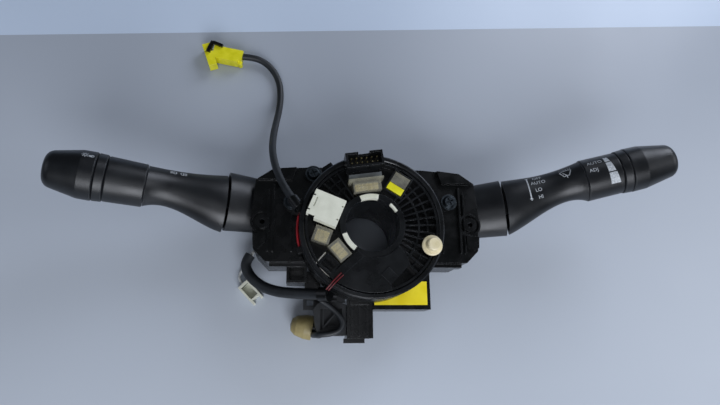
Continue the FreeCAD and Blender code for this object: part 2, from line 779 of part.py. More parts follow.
def flat_cable():
    """Flat cable wound as half turns about two middles, so that it creeps outwards."""
    level = d.ring_floor + d.floor_thickness + 0.4
    shift = d.ribbon_pitch / 2
    halves = []
    radius = d.ribbon_inner
    for half in range(int(d.ribbon_turns * 2)):
        middle = (shift * 0.5, 0, level) if half % 2 else (shift * -0.5, 0, level)
        turn = Rotation(Vector(0, 0, 1), 180.0 if half % 2 else 0.0)
        outer = cylinder("ribbon_outer_%d" % half, radius + d.ribbon_thickness, d.ribbon_height, middle, turn, 180)
        inner = cylinder("ribbon_inner_%d" % half, radius, d.ribbon_height, middle, turn, 180)
        halves.append(cut("ribbon_half_%d" % half, outer, inner))
        radius = radius + shift
    finish("flat_cable", fuse("flat_cable", *halves))


def screws():
    parts = []
    top = d.base_depth + d.ear_thickness
    for number, (x, y) in enumerate(screw_spots(), 1):
        shank = cylinder("shank_%d" % number, d.screw_radius, d.screw_length + d.ear_thickness - 2.0,
                         (x, y, top - d.screw_length - d.ear_thickness + 4.0))
        washer = cylinder("washer_%d" % number, d.washer_radius, d.washer_thickness, (x, y, top))
        head = doc.addObject("Part::Cone", "head_%d" % number)
        bind(head, Radius1=d.screw_head, Radius2=d.screw_head * 0.72, Height=d.screw_head_height)
        place(head, (x, y, top + d.washer_thickness))
        whole = fuse("screw_%d" % number, shank, washer, head)
        cross = [middle_block("recess_%d%d" % (number, arm), d.screw_head * 1.1, 1.1, 2.0,
                              (x, y, top + d.washer_thickness + d.screw_head_height - 1.3),
                              Rotation(Vector(0, 0, 1), 25 + 90 * arm)) for arm in range(2)]
        parts.append(cut("screw_recess_%d" % number, whole, *cross))
    group = doc.addObject("Part::Compound", "ring_screws")
    group.Links = parts
    finish("ring_screws", group)


# Rotor and what turns with it

TOP_TURN = 8.5
POCKET_TURN = 58.0
BLACK_SPOT = (*polar(d.rim_radius - 5.67, -137.6),)
# Start and sweep about the column, outer radius and depth down the bore of each white pad
CAM_PADS = [(-162.0, 36.0, d.pad_width - 0.3, 3.0), (78.0, 36.0, d.pad_width - 0.3, 3.0), (30.0, 20.0, d.cam_radius - 0.3, 1.4)]


def on_rotor(u, v, level, turn):
    """A place on the rotor measured across (u) and outwards (v) in a turned frame."""
    spot = Rotation(Vector(0, 0, 1), turn).multVec(Vector(float(u), float(v), 0))
    return (spot.x, spot.y, level)


def rotor():
    body = turned("rotor_body", [
        (d.hub_bore, d.sleeve_bottom), (d.sleeve_radius, d.sleeve_bottom),
        (d.sleeve_radius, d.ring_floor + d.floor_thickness + d.drum_gap),
        (d.drum_radius, d.ring_floor + d.floor_thickness + d.drum_gap), (d.drum_radius, d.disc_bottom),
        (d.disc_radius, d.disc_bottom), (d.disc_radius, d.disc_face), (d.rim_radius, d.disc_face),
        (d.rim_radius, d.rim_top), (d.rim_radius - d.rim_wall, d.rim_top), (d.rim_radius - d.rim_wall, d.disc_face),
        (d.hub_rim, d.disc_face), (d.hub_rim, d.hub_top), (d.hub_bore, d.hub_top)])
    rib_field(body, "right", -47.0, d.rib_count)
    rib_field(body, "upper", 123.5, 4)
    boss_x, boss_y = polar(d.pin_orbit, d.pin_angle)
    boss = cylinder("pin_boss", d.pin_boss, d.ring_top + 0.1 - d.disc_face, (boss_x, boss_y, d.disc_face))
    bore = cylinder("pin_bore", d.pin_shank + d.running_fit, 20.0, (boss_x, boss_y, d.disc_bottom + 1.0))
    chamber = cut("cam_chamber", cylinder("chamber_outer", d.cam_radius, d.hub_top - d.lip_height - d.cam_bottom,
                                          (0, 0, d.cam_bottom)),
                  cylinder("chamber_inner", d.hub_bore + d.cam_wall, 60.0, (0, 0, d.cam_bottom - 5.0)))
    windows = [chamber]
    for number, (start, sweep, reach, deep) in enumerate(CAM_PADS, 1):
        turn = Rotation(Vector(0, 0, 1), start - 1.0)
        windows.append(cylinder("cam_window_%d" % number, reach + 0.3, 3.0, (0, 0, d.hub_top - d.lip_height),
                                turn, sweep + 2.0))
        windows.append(cylinder("cam_notch_%d" % number, d.cam_radius, deep + 1.0, (0, 0, d.hub_top - d.lip_height - deep),
                                turn, sweep + 2.0))
    pocket = middle_block("bezel_room", 15.0, 12.6, 10.0, (*polar(d.pocket_orbit, POCKET_TURN), d.disc_face),
                          Rotation(Vector(0, 0, 1), POCKET_TURN))
    wall = middle_block("bezel", 17.0, 14.6, d.rim_top - d.disc_face, (*polar(d.pocket_orbit, POCKET_TURN), d.disc_face),
                        Rotation(Vector(0, 0, 1), POCKET_TURN))
    lugs = [middle_block("drive_lug_%d" % number, 4.0, 4.6, d.gear_thickness,
                         (*polar(d.sleeve_radius + 0.6, angle), d.gear_bottom + 0.4), Rotation(Vector(0, 0, 1), angle))
            for number, angle in enumerate((0.0, 180.0), 1)]
    lug_bore = cylinder("lug_bore", d.hub_bore, 60.0, (0, 0, d.sleeve_bottom - 5.0))
    seats = [middle_block("foot_room", 24.2, 8.2, 20.0, on_rotor(0, d.connector_foot, d.disc_face, TOP_TURN),
                          Rotation(Vector(0, 0, 1), TOP_TURN)),
             middle_block("black_room", 11.6, 9.8, 20.0, (*BLACK_SPOT, d.disc_face), Rotation(Vector(0, 0, 1), -40.0))]
    whole = fuse("rotor_whole", body, boss, wall, cut("drive_lugs", fuse("lug_pair", *lugs), lug_bore))
    finish("rotor", cut("rotor", whole, bore, pocket, fuse("rotor_openings", *windows, *seats)))


def rib_field(body, tag, start, count):
    """Radial ribs with two cross bars each, repeated round the column to make open cells."""
    inner = d.hub_rim - 0.5
    outer = d.rim_radius - d.rim_wall + 0.3
    bottom = d.disc_face - 0.2
    tall = d.rim_top - 1.0 - bottom
    originals = []
    sketch = sketch_on(body, "XY_Plane", tag + "_rib_outline", bottom)
    sketch.AttachmentOffset = Placement(Vector(0, 0, float(bottom)), Rotation(Vector(0, 0, 1), start))
    polygon(sketch, [(inner, -d.rib_thickness / 2), (outer, -d.rib_thickness / 2),
                     (outer, d.rib_thickness / 2), (inner, d.rib_thickness / 2)])
    originals.append(raised(body, tag + "_rib", sketch, tall))
    for number, (radius, height) in enumerate(((32.0, tall), (38.5, tall - 1.6)), 1):
        half = radius * math.tan(math.radians(float(d.rib_pitch))) / 2 + 0.15
        sketch = sketch_on(body, "XY_Plane", "%s_bar_outline%d" % (tag, number), bottom)
        turn = Rotation(Vector(0, 0, 1), start + d.rib_pitch / 2)
        sketch.AttachmentOffset = Placement(Vector(0, 0, float(bottom)), turn)
        polygon(sketch, [(radius, -half), (radius + d.rib_thickness, -half),
                         (radius + d.rib_thickness, half), (radius, half)])
        originals.append(raised(body, "%s_bar%d" % (tag, number), sketch, height))
    pattern = body.newObject("PartDesign::PolarPattern", tag + "_ribs")
    pattern.Originals = originals
    axis = [line for line in body.Origin.OriginFeatures if line.Role == "Z_Axis"][0]
    pattern.Axis = (axis, [""])
    pattern.Angle = float(d.rib_pitch * (int(count) - 1))
    pattern.Occurrences = int(count)
    body.Tip = pattern


def raised(body, name, sketch, height):
    feature = body.newObject("PartDesign::Pad", name)
    feature.Profile = sketch
    bind(feature, Length=height)
    return feature


def cancel_cam():
    """White sleeve inside the hub wall with raised pads that show through the rim."""
    inner = d.hub_bore + d.cam_wall + 0.05
    outer = d.cam_radius - 0.05
    top = d.hub_top - d.lip_height
    parts = [turned("cam_ring", [(inner, d.cam_bottom + 0.1), (outer, d.cam_bottom + 0.1), (outer, top - 0.1), (inner, top - 0.1)])]
    bore = cylinder("cam_pad_bore", d.hub_bore, 60.0, (0, 0, d.cam_bottom))
    for number, (start, sweep, reach, deep) in enumerate(CAM_PADS, 1):
        turn = Rotation(Vector(0, 0, 1), start)
        pad_top = cylinder("cam_pad_top_%d" % number, reach, d.lip_height - 0.15, (0, 0, top + 0.05), turn, sweep)
        pad_root = cylinder("cam_pad_root_%d" % number, outer, deep, (0, 0, top - deep + 0.05), turn, sweep)
        parts.append(cut("cam_pad_%d" % number, fuse("cam_pad_whole_%d" % number, pad_top, pad_root), bore))
    finish("cancel_cam", fuse("cancel_cam", *parts))


def sector_cover():
    """Smooth cover over the lower part of the rotor."""
    body = new_body("sector_plate")
    pad(body, "sector_pad", [(-8.0, -14.8), (16.0, -12.5), (23.0, -20.8), (24.8, -27.0), (17.7, -34.4),
                             (11.5, -41.0), (14.0, -50.0), (-42.6, -50.5)], d.rim_top, d.sector_thickness)
    outer = cylinder("sector_outer", d.rim_radius, 10.0, (0, 0, d.rim_top - 5.0))
    inner = cylinder("sector_inner", d.hub_rim + 0.3, 20.0, (0, 0, d.rim_top - 8.0))
    plate = common("sector_common", body, cut("sector_annulus", outer, inner))
    seam = Rotation(Vector(0, 0, 1), 42.0)
    strip = middle_block("sector_strip", 26.0, 5.8, 0.9, (-18.2, -28.8, d.rim_top + d.sector_thickness), seam)
    tab = middle_block("sector_tab", 7.4, 8.2, 0.8, (10.6, -34.6, d.rim_top + d.sector_thickness),
                       Rotation(Vector(0, 0, 1), 45.0))
    leg = middle_block("sector_leg", 14.0, 4.0, d.rim_top - d.disc_face, (*polar(34.0, -98.0), d.disc_face),
                       Rotation(Vector(0, 0, 1), -8.0))
    finish("sector_cover", fuse("sector_cover", plate, strip, tab, leg))


def upper_connector():
    turn = Rotation(Vector(0, 0, 1), TOP_TURN)
    foot = middle_block("connector_foot", 24.0, 8.0, d.ring_top + 0.6 - d.disc_face,
                        on_rotor(0, d.connector_foot, d.disc_face, TOP_TURN), turn)
    head_level = d.ring_top + 0.4
    head = middle_block("connector_head", 26.0, 10.6, 11.6, on_rotor(0, d.connector_head, head_level, TOP_TURN), turn)
    cavity = middle_block("connector_cavity", 26.0 - d.connector_wall * 2, 10.6 - d.connector_wall * 2, 12.0,
                          on_rotor(0, d.connector_head, head_level + 2.4, TOP_TURN), turn)
    slot = middle_block("connector_key", 8.0, 4.0, 7.0, on_rotor(0, d.connector_head + 5.5, head_level + 6.4, TOP_TURN), turn)
    finish("upper_connector", cut("upper_connector", fuse("connector_body", foot, head), cavity, slot))
    pins = []
    for row in range(2):
        for column in range(6):
            spot = on_rotor(-9.0 + column * 3.6, d.connector_head - 1.6 + row * 3.2, head_level + 2.4, TOP_TURN)
            pins.append(cylinder("connector_pin_%d%d" % (row, column), d.connector_pin, 6.5, spot))
    group = doc.addObject("Part::Compound", "connector_pins")
    group.Links = pins
    finish("connector_pins", group)
    bridge = middle_block("connector_bridge", 23.0, 3.4, 10.4, on_rotor(0, d.bridge_middle, d.disc_face, TOP_TURN), turn)
    finish("connector_bridge", bridge)


def milky_box(label, length, width, height, spot, turn, extras=()):
    """A see-through connector shell, open towards the disc, with a ribbed holder inside."""
    outer = middle_block(label + "_outer", length, width, height, (spot[0], spot[1], d.disc_face), turn)
    room = middle_block(label + "_room", length - d.connector_wall * 2, width - d.connector_wall * 2,
                        height - d.connector_wall, (spot[0], spot[1], d.disc_face), turn)
    finish(label, cut(label, fuse(label + "_form", outer, *extras) if extras else outer, room))
    length = length - d.connector_wall * 2 - 0.4
    width = width - d.connector_wall * 2 - 0.4
    height = height - d.connector_wall - 1.4
    ribs = [middle_block(label + "_holder", length, width, height - 1.0, (spot[0], spot[1], d.disc_face), turn)]
    count = int(length / 2.9)
    for number in range(count):
        aside = turn.multVec(Vector((number - (count - 1) / 2) * 2.9, 0, 0))
        ribs.append(middle_block("%s_rib_%d" % (label, number), 1.3, width, height,
                                 (spot[0] + aside.x, spot[1] + aside.y, d.disc_face), turn))
    return fuse(label + "_inside", *ribs)


def clear_connectors():
    turn = Rotation(Vector(0, 0, 1), TOP_TURN)
    flange_middle = d.bridge_middle - 2.7
    width = flange_middle - 0.8 - d.hub_rim - 0.7
    spot = on_rotor(0, flange_middle - 0.75 - width / 2, d.disc_face, TOP_TURN)
    flange = middle_block("clear_flange", 24.6, 1.6, 12.6, on_rotor(0, flange_middle, d.disc_face, TOP_TURN), turn)
    ridge = middle_block("clear_ridge", 17.0, 1.2, 0.8, on_rotor(0, flange_middle - 5.6, d.disc_face + 11.5, TOP_TURN), turn)
    inserts = [milky_box("clear_connector_upper", 19.6, width, 11.6, spot, turn, (flange, ridge))]
    side_turn = Rotation(Vector(0, 0, 1), -19.0)
    side_spot = polar(d.rim_radius - 10.83, -167.3)
    inserts.append(milky_box("clear_connector_side", 12.0, 10.4, 9.4, side_spot, side_turn))
    low_turn = Rotation(Vector(0, 0, 1), -50.0)
    low_spot = polar(d.hub_rim + 6.7, -141.4)
    inserts.append(milky_box("clear_connector_lower", 14.2, 9.6, 9.4, low_spot, low_turn))
    group = doc.addObject("Part::Compound", "connector_holders")
    group.Links = inserts
    finish("connector_holders", group)


def black_connector():
    turn = Rotation(Vector(0, 0, 1), -40.0)
    outer = middle_block("black_outer", 11.4, 9.6, 8.6, (*BLACK_SPOT, d.disc_face), turn)
    inner = middle_block("black_inner", 9.0, 7.2, 8.6, (*BLACK_SPOT, d.disc_face + 2.0), turn)
    cross = [middle_block("black_cross", 9.6, 1.0, 3.2, (*BLACK_SPOT, d.disc_face + 1.8), turn),
             middle_block("black_divider", 1.0, 8.0, 3.2, (*BLACK_SPOT, d.disc_face + 1.8), turn)]
    finish("black_connector", fuse("black_connector", cut("black_shell", outer, inner), *cross))


def lead_cover():
    turn = Rotation(Vector(0, 0, 1), -22.0)
    spot = (-32.6, 9.2)
    level = d.ring_top + 0.6
    outer = middle_block("lead_cover_outer", 22.0, 19.4, 7.6, (*spot, level), turn)
    inner = middle_block("lead_cover_inner", 19.0, 16.4, 6.0, (*spot, level - 0.2), turn)
    legs = middle_block("lead_cover_leg", 12.0, 9.0, 15.0, (-31.0, 9.0, d.disc_face), turn)
    notches = []
    for number, (u, v) in enumerate(((-11.0, 5.6), (-11.0, -5.2), (11.0, 5.0), (11.0, -4.6)), 1):
        place_at = turn.multVec(Vector(u, v, 0))
        notches.append(middle_block("lead_notch_%d" % number, 3.0, 1.3, 20.0,
                                    (spot[0] + place_at.x, spot[1] + place_at.y, level - 5.0), turn))
    for number, (u, v, length, width, up) in enumerate(((-8.4, -9.4, 7.0, 2.6, -1.0), (-8.2, 1.2, 1.2, 7.0, 6.8)), 1):
        place_at = turn.multVec(Vector(u, v, 0))
        notches.append(middle_block("lead_step_%d" % number, length, width, 20.0,
                                    (spot[0] + place_at.x, spot[1] + place_at.y, level + up), turn))
    finish("lead_cover", fuse("lead_cover", cut("lead_cover_shell", outer, inner, *notches), legs))


def pocket_insert():
    turn = Rotation(Vector(0, 0, 1), POCKET_TURN)
    clear = middle_block("pocket_clear", 8.4, 11.8, 6.8, (*polar(d.pocket_orbit + 3.0, POCKET_TURN), d.disc_face), turn)
    yellow = middle_block("pocket_yellow", 5.2, 11.8, 6.4, (*polar(d.pocket_orbit - 4.0, POCKET_TURN), d.disc_face), turn)
    finish("pocket_block", clear)
    finish("yellow_insert", yellow)


def lock_pin():
    x, y = polar(d.pin_orbit, d.pin_angle)
    level = d.ring_top + 0.4
    body = turned("lock_pin", [
        (0.0, d.disc_bottom + 1.4 - level), (d.pin_shank, d.disc_bottom + 1.4 - level), (d.pin_shank, 0.0),
        (d.pin_flange, 0.0), (d.pin_flange, 1.0), (d.pin_flange - 0.6, 1.6), (d.pin_knob, 1.9),
        (d.pin_knob - 0.3, d.pin_height - 0.8), (d.pin_knob - 1.1, d.pin_height), (0.0, d.pin_height)])
    place(body, (x, y, level))
    finish("lock_pin", body)


# Steering angle sensor

def sensor_outline(name, grow, level, height):
    """Round housing with the rectangular lobe that carries the label."""
    disc = cylinder(name + "_disc", d.sensor_radius + grow, height, (0, 0, level))
    lobe = block(name + "_lobe", d.sensor_right - d.sensor_left + grow * 2, d.sensor_drop - d.sensor_upper + grow * 2, height,
                 (d.sensor_left - grow, -d.sensor_drop - grow, level))
    return fuse(name, disc, lobe)


def sensor_case():
    depth = d.sensor_seam - d.sensor_bottom
    outer = sensor_outline("case_form", 0.0, d.sensor_bottom, depth)
    inner = sensor_outline("case_hollow", -d.sensor_wall, d.sensor_bottom + d.sensor_wall, depth)
    bore = cylinder("case_bore", d.column_bore, 40.0, (0, 0, d.sensor_bottom - 10.0))
    collar = cut("case_collar", cylinder("collar_outer", d.column_bore + 1.2, 1.8, (0, 0, d.sensor_bottom)),
                 cylinder("collar_inner", d.column_bore, 9.0, (0, 0, d.sensor_bottom - 4.0)))
    posts = []
    for number, (x, y, teeth) in enumerate(small_gears(), 1):
        posts.append(cylinder("gear_post_%d" % number, d.gear_pin, d.gear_bottom + d.gear_thickness - d.sensor_bottom - 0.5,
                              (x, y, d.sensor_bottom)))
    for number, (x, y) in enumerate(board_posts(), 1):
        posts.append(cylinder("board_post_%d" % number, 2.0, d.board_level - d.sensor_bottom, (x, y, d.sensor_bottom)))
    shell = cut("case_shell", outer, inner, bore)
    finish("sensor_case", fuse("sensor_case", shell, collar, *posts))


def board_posts():
    return [(8.6, -50.6), (41.8, -50.6), (41.8, -31.5)]


def sensor_cover():
    height = d.sensor_top - d.sensor_seam
    outer = sensor_outline("cover_form", 0.0, d.sensor_seam, height)
    inner = sensor_outline("cover_hollow", -d.sensor_wall, d.sensor_seam - 1.0, height + 1.0 - d.sensor_wall)
    bore = cylinder("cover_bore", d.sleeve_radius + 0.6, 30.0, (0, 0, d.sensor_seam - 5.0))
    finish("sensor_cover", cut("sensor_cover", outer, inner, bore))


def gear_centre(teeth, angle):
    distance = d.tooth_module * (d.hub_teeth + teeth) / 2 + 0.1
    return polar(distance, angle)


FIRST_ANGLE, SECOND_ANGLE = -28.8, -65.0


def small_gears():
    return [(*gear_centre(d.first_teeth, FIRST_ANGLE), d.first_teeth),
            (*gear_centre(d.second_teeth, SECOND_ANGLE), d.second_teeth)]


def involute(base, radius):
    """Angle in radians by which an involute has turned when it reaches a radius."""
    ratio = math.sqrt(max((radius / base) ** 2 - 1, 0))
    return ratio - math.atan(ratio)


def gear_face(teeth, phase):
    """Outline of an involute gear with a tooth centred on the phase angle in degrees."""
    module = float(d.tooth_module)
    pitch = module * teeth / 2
    base = pitch * math.cos(math.radians(25))
    tip = pitch + 0.8 * module
    root = pitch - 1.05 * module
    half = math.pi / (2 * teeth) - d.backlash / (2 * pitch)
    points = []
    radii = [max(root, base), (max(root, base) + pitch) / 2, pitch, tip]
    for tooth in range(int(teeth)):
        middle = math.radians(phase) + 2 * math.pi * tooth / teeth
        rising = []
        for radius in radii:
            spread = half + involute(base, pitch) - involute(base, radius)
            rising.append((radius, spread))
        flank = [(root, rising[0][1])] * (root < base) + rising
        for radius, spread in flank:
            points.append(Vector(radius * math.cos(middle - spread), radius * math.sin(middle - spread), 0))
        for radius, spread in reversed(flank):
            points.append(Vector(radius * math.cos(middle + spread), radius * math.sin(middle + spread), 0))
    return Part.Face(Part.makePolygon(points + points[:1]))


def gear_solid(label, teeth, phase, centre, bore, extra=None):
    solid = gear_face(int(teeth), phase).extrude(Vector(0, 0, float(d.gear_thickness)))
    solid = solid.cut(Part.makeCylinder(float(bore), 20, Vector(0, 0, -5)))
    if extra:
        solid = extra(solid)
    feature = doc.addObject("Part::Feature", label)
    feature.Shape = solid
    feature.Placement = Placement(Vector(centre[0], centre[1], float(d.gear_bottom)), Rotation())
    return feature


def hub_gear():
    def keyways(solid):
        for side in (0, 180):
            slot = Part.makeBox(6.2, 5.0, 20.0, Vector(18.0, -2.5, -5.0))
            slot.rotate(Vector(0, 0, 0), Vector(0, 0, 1), side)
            solid = solid.cut(slot)
        return solid
    finish("hub_gear", gear_solid("hub_gear", d.hub_teeth, 0.0, (0.0, 0.0), d.sleeve_radius + 0.25, keyways))


def measuring_gears():
    """Each small gear starts with a tooth in a gap of the hub gear."""
    for label, angle, teeth in (("first", FIRST_ANGLE, d.first_teeth), ("second", SECOND_ANGLE, d.second_teeth)):
        centre = gear_centre(teeth, angle)
        hub_step = 360.0 / d.hub_teeth
        gap_from_line = (round(angle / hub_step - 0.5) + 0.5) * hub_step - angle
        phase = angle + 180.0 - gap_from_line * d.hub_teeth / teeth
        seat = float(d.magnet_radius + 1.3)
        def cup(solid):
            rim = Part.makeCylinder(seat, float(d.magnet_height), Vector(0, 0, float(d.gear_thickness)))
            hollow = Part.makeCylinder(float(d.magnet_radius + 0.02), 10, Vector(0, 0, float(d.gear_thickness)))
            return solid.fuse(rim.cut(hollow))
        gear = gear_solid("%s_measuring_gear" % label, teeth, phase, centre, d.gear_pin + d.running_fit, cup)
        finish("%s_measuring_gear" % label, gear)
        magnet = cylinder("%s_magnet" % label, d.magnet_radius, d.magnet_height,
                          (centre[0], centre[1], d.gear_bottom + d.gear_thickness))
        finish("%s_magnet" % label, magnet)


def sensor_board():
    plate = block("board_plate", d.sensor_right - d.sensor_left - d.sensor_wall * 2 - 0.8, 32.0, 1.2,
                  (d.sensor_left + d.sensor_wall + 0.4, d.sensor_wall + 0.4 - d.sensor_drop, d.board_level))
    bore = cylinder("board_bore", d.sleeve_radius + 2.0, 10.0, (0, 0, d.board_level - 5.0))
    parts = [cut("board_sheet", plate, bore)]
    for number, (x, y, teeth) in enumerate(small_gears(), 1):
        if y < -24.0:
            parts.append(middle_block("chip_%d" % number, 5.0, 4.0, 1.0, (x, y, d.board_level + 1.2)))
    parts.append(middle_block("processor", 8.0, 8.0, 1.4, (33.0, -42.0, d.board_level + 1.2)))
    finish("sensor_board", fuse("sensor_board", *parts))


def sensor_label():
    finish("sensor_label", block("sensor_label", d.sensor_right - d.sensor_left - 3.0, 17.0, d.label_thickness,
                                 (d.sensor_left + 0.6, 3.2 - d.sensor_drop, d.sensor_top)))


# Lower connector, harness bracket, clip and caps

def lower_connector():
    width = d.socket_left + d.socket_right
    outer = block("socket_outer", width, d.socket_drop - d.socket_reach, d.socket_top - d.socket_bottom, (-d.socket_left, -d.socket_drop, d.socket_bottom))
    mouth = block("socket_mouth", width - d.socket_wall * 2, 20.0, d.socket_top - d.socket_bottom - d.socket_wall * 2,
                  (d.socket_wall - d.socket_left, -d.socket_drop - 2.0, d.socket_bottom + d.socket_wall))
    neck = block("socket_neck", 14.0, 7.2, 3.2, (-13.0, -51.6, d.socket_top - 1.2))
    ribs = [block("socket_rib_%d" % number, 1.2, 24.0, 0.8, (-d.socket_left + 2.6 + number * 5.6, 1.5 - d.socket_drop, d.socket_top))
            for number in range(3)]
    finish("lower_connector", cut("lower_connector", fuse("socket_form", outer, neck, *ribs), mouth))
    tab = block("lock_tab", 15.0, 3.2, 3.0, (-17.2, -d.socket_drop - 3.2, d.socket_top - 5.0))
    finish("lock_tab", tab)


def harness_bracket():
    body = new_body("bracket_form")
    foot = 2.0 - d.socket_drop
    pad(body, "bracket_pad", [(-38.7, -54.0), (-37.5, foot + 8.0), (-34.8, foot), (-d.socket_left - 0.3, foot),
                              (-d.socket_left - 0.3, -51.0), (-27.0, -48.0), (-36.0, -50.5)], d.socket_bottom, 18.0)
    round_edges(body, "bracket_rounds", 1.0, upright)
    arm = block("bracket_arm", 16.0, 10.5, 5.0, (-46.0, -54.0, d.socket_bottom))
    tray = middle_block("bracket_tray", 15.5, 15.0, 30.0, (-26.2, -61.5, d.socket_bottom + 3.0))
    window = middle_block("bracket_window", 5.0, 4.0, 30.0, (-41.0, -49.0, d.socket_bottom - 6.0))
    finish("harness_bracket", cut("harness_bracket", fuse("bracket_whole", body, arm), tray, window))


def beige_cap():
    body = turned("beige_cap", [
        (0.0, 3.0), (7.2, 3.0), (7.6, 0.0), (9.3, 0.0), (9.0, 6.0), (7.4, 12.5), (4.6, 16.0), (0.0, 17.0)])
    round_edges(body, "beige_rounds", 1.2, lambda edge: edge.CenterOfMass.z > 12.0 and edge.BoundBox.XLength > 9.0)
    heading = Rotation(Vector(0, 0, 1), Vector(-1.0, 0.17, 0.0))
    body.Placement = Placement(Vector(-38.6, -66.6, 9.6), heading)
    finish("beige_cap", body)
    plug = turned("capped_plug_body", [(0.0, -9.0), (5.6, -9.0), (6.9, -6.5), (6.9, 2.9), (0.0, 2.9)])
    plug.Placement = Placement(Vector(-38.6, -66.6, 9.6), heading)
    foot = block("capped_plug_foot", 5.5, 5.5, d.socket_bottom - 12.0, (-35.5, -70.0, 12.0))
    finish("capped_plug", fuse("capped_plug_whole", plug, foot))


def red_wires():
    """Two thin wires that run down the left side of the case."""
    wires = []
    for number, level in enumerate((58.0, 60.2), 1):
        wire = doc.addObject("Part::Torus", "red_wire_%d" % number)
        bind(wire, Radius1=d.ring_radius + d.wire_radius + 0.3, Radius2=d.wire_radius, Angle3=26.6)
        place(wire, (0, 0, level), Rotation(Vector(0, 0, 1), 168.4))
        wires.append(wire)
    group = doc.addObject("Part::Compound", "red_wires")
    group.Links = wires
    finish("red_wires", group)


# Leads: straight runs joined by tangent arcs

def rounded_path(points):
    """A wire through the route, with each corner replaced by the largest arc its runs allow."""
    vectors = [Vector(*point) for point in points]
    edges = []
    radii = []
    here = vectors[0]
    for before, corner, after in zip(vectors, vectors[1:], vectors[2:]):
        inward = (corner - before).normalize()
        outward = (after - corner).normalize()
        turn = inward.getAngle(outward)
        trim = 0.45 * min((corner - before).Length, (after - corner).Length)
        radii.append(trim / math.tan(turn / 2))
        start = corner - inward * trim
        end = corner + outward * trim
        toward = (outward - inward).normalize()
        bisect = math.sqrt(radii[-1] ** 2 + trim ** 2) - radii[-1]
        edges.append(Part.LineSegment(here, start).toShape())
        edges.append(Part.Arc(start, corner + toward * bisect, end).toShape())
        here = end
    edges.append(Part.LineSegment(here, vectors[-1]).toShape())
    return Part.Wire(edges), radii


def lead(label, route, radius):
    path, radii = rounded_path(route)
    start = Vector(*route[0])
    profile = Part.Wire([Part.makeCircle(float(radius), start, Vector(*route[1]) - start)])
    tube = path.makePipeShell([profile], True, False)
    feature = doc.addObject("Part::Feature", label)
    feature.Shape = tube
    expected = math.pi * radius ** 2 * path.Length
    print("%s length %.1f volume ratio %.4f radii %s" % (
        label, path.Length, tube.Volume / expected, " ".join("%.0f" % value for value in radii)))
    finish(label, feature)


def plugs():
    """The yellow connector at the end of the long lead and the white one by the sleeve."""
    turn = Rotation(Vector(0, 0, 1), 170.0)
    lean = Rotation(Vector(0, 0, 1), 19.7)
    body = middle_block("yellow_body", 22.0, 11.6, 9.4, (-116.5, 164.6, 1.0), turn)
    nose = middle_block("yellow_nose", 7.0, 21.0, 9.4, (-130.2, 163.3, 1.0), lean)
    neck = middle_block("yellow_neck", 8.0, 9.4, 9.0, (-106.4, 164.0, 1.4), turn)
    post = fuse("yellow_post", cylinder("post_pin", 1.9, 6.0, (-104.4, 158.2, 1.0)),
                middle_block("post_arm", 2.6, 5.0, 6.0, (-106.0, 160.2, 1.0), Rotation(Vector(0, 0, 1), -38.0)))
    bore = cylinder("yellow_bore", d.long_lead_radius + 0.1, 4.4, (-101.6, 164.4, 6.2), Rotation(Vector(0, 1, 0), -90))
    split = middle_block("yellow_split", 8.0, 2.2, 3.0, (-131.2, 166.6, 8.0), lean)
    finish("yellow_plug", cut("yellow_plug", fuse("yellow_form", body, nose, neck, post), bore, split))
    strip = middle_block("latch_strip", 3.2, 10.4, 2.4, (-129.4, 169.6, 10.4), Rotation(Vector(0, 0, 1), -20.0))
    arm = middle_block("latch_arm", 9.0, 2.4, 2.4, (-123.4, 172.3, 10.4), Rotation(Vector(0, 0, 1), -21.8))
    finish("yellow_latch", fuse("yellow_latch", strip, arm))
    slant = Rotation(Vector(0, 0, 1), -46.2)
    case = middle_block("white_case", 18.0, 9.6, 9.0, (-86.4, -39.45, 0.4), slant)
    mouth = middle_block("white_mouth", 11.6, 6.4, 8.0, (-87.2, -38.6, 2.4), slant)
    spot = slant.multVec(Vector(7.6, 0, 0))
    gap = middle_block("white_gap", 3.4, 5.6, 20.0, (spot.x - 86.4, spot.y - 39.45, -5.0), slant)
    finish("white_plug", cut("white_plug", case, mouth, gap))


def white_tail():
    """Wires from the end of the sleeve back to the white connector."""
    return [(-87.4, -11.4, 12.3), (-85.4, -8.2, 11.6), (-85.3, -7.9, 7.2), (-87.4, -11.6, 4.2),
            (-90.2, -15.8, 2.2), (-93.6, -20.4, 1.7), (-96.0, -25.2, 2.8), (-95.6, -29.9, 4.9),
            (-92.7, -32.93, 4.9)]


def build():
    switch_base()
    for lever in (left, right):
        switch_case(lever)
        contact_board(lever)
        yoke(lever)
        hinge_pin(lever)
        shroud(lever)
        lever_body(lever)
        fixed_ring(lever)
    ring(left, "fog_lamp_ring")
    ring(right, "interval_ring")
    knob(left, "light_knob")
    knob(right, "right_end_cap")
    stator_case()
    stator_cover()
    flat_cable()
    screws()
    rotor()
    cancel_cam()
    sector_cover()
    upper_connector()
    clear_connectors()
    black_connector()
    lead_cover()
    pocket_insert()
    lock_pin()
    sensor_case()
    sensor_cover()
    sensor_board()
    sensor_label()
    hub_gear()
    measuring_gears()
    lower_connector()
    harness_bracket()
    beige_cap()
    red_wires()
    plugs()
    lead("long_lead", LONG_ROUTE, d.long_lead_radius)
    lead("black_sleeve", SLEEVE_ROUTE, d.sleeve_lead_radius)
    lead("white_plug_wires", white_tail(), d.thin_lead_radius)


def check_and_export():
    doc.recompute()
    broken = [feature.Label for feature in doc.Objects if "Invalid" in feature.State or "Error" in feature.State]
    if broken:
        raise RuntimeError("did not build: " + ", ".join(broken))
    for label, feature in pieces.items():
        shape = feature.Shape
        if shape.isNull() or not shape.isValid():
            raise RuntimeError("%s has no valid shape" % label)
        print("%-24s solids %d faces %d volume %.0f" % (label, len(shape.Solids), len(shape.Faces), shape.Volume))
    for label, feature in pieces.items():
        feature.Shape.exportStep("parts/%s.step" % label)


build()
check_and_export()
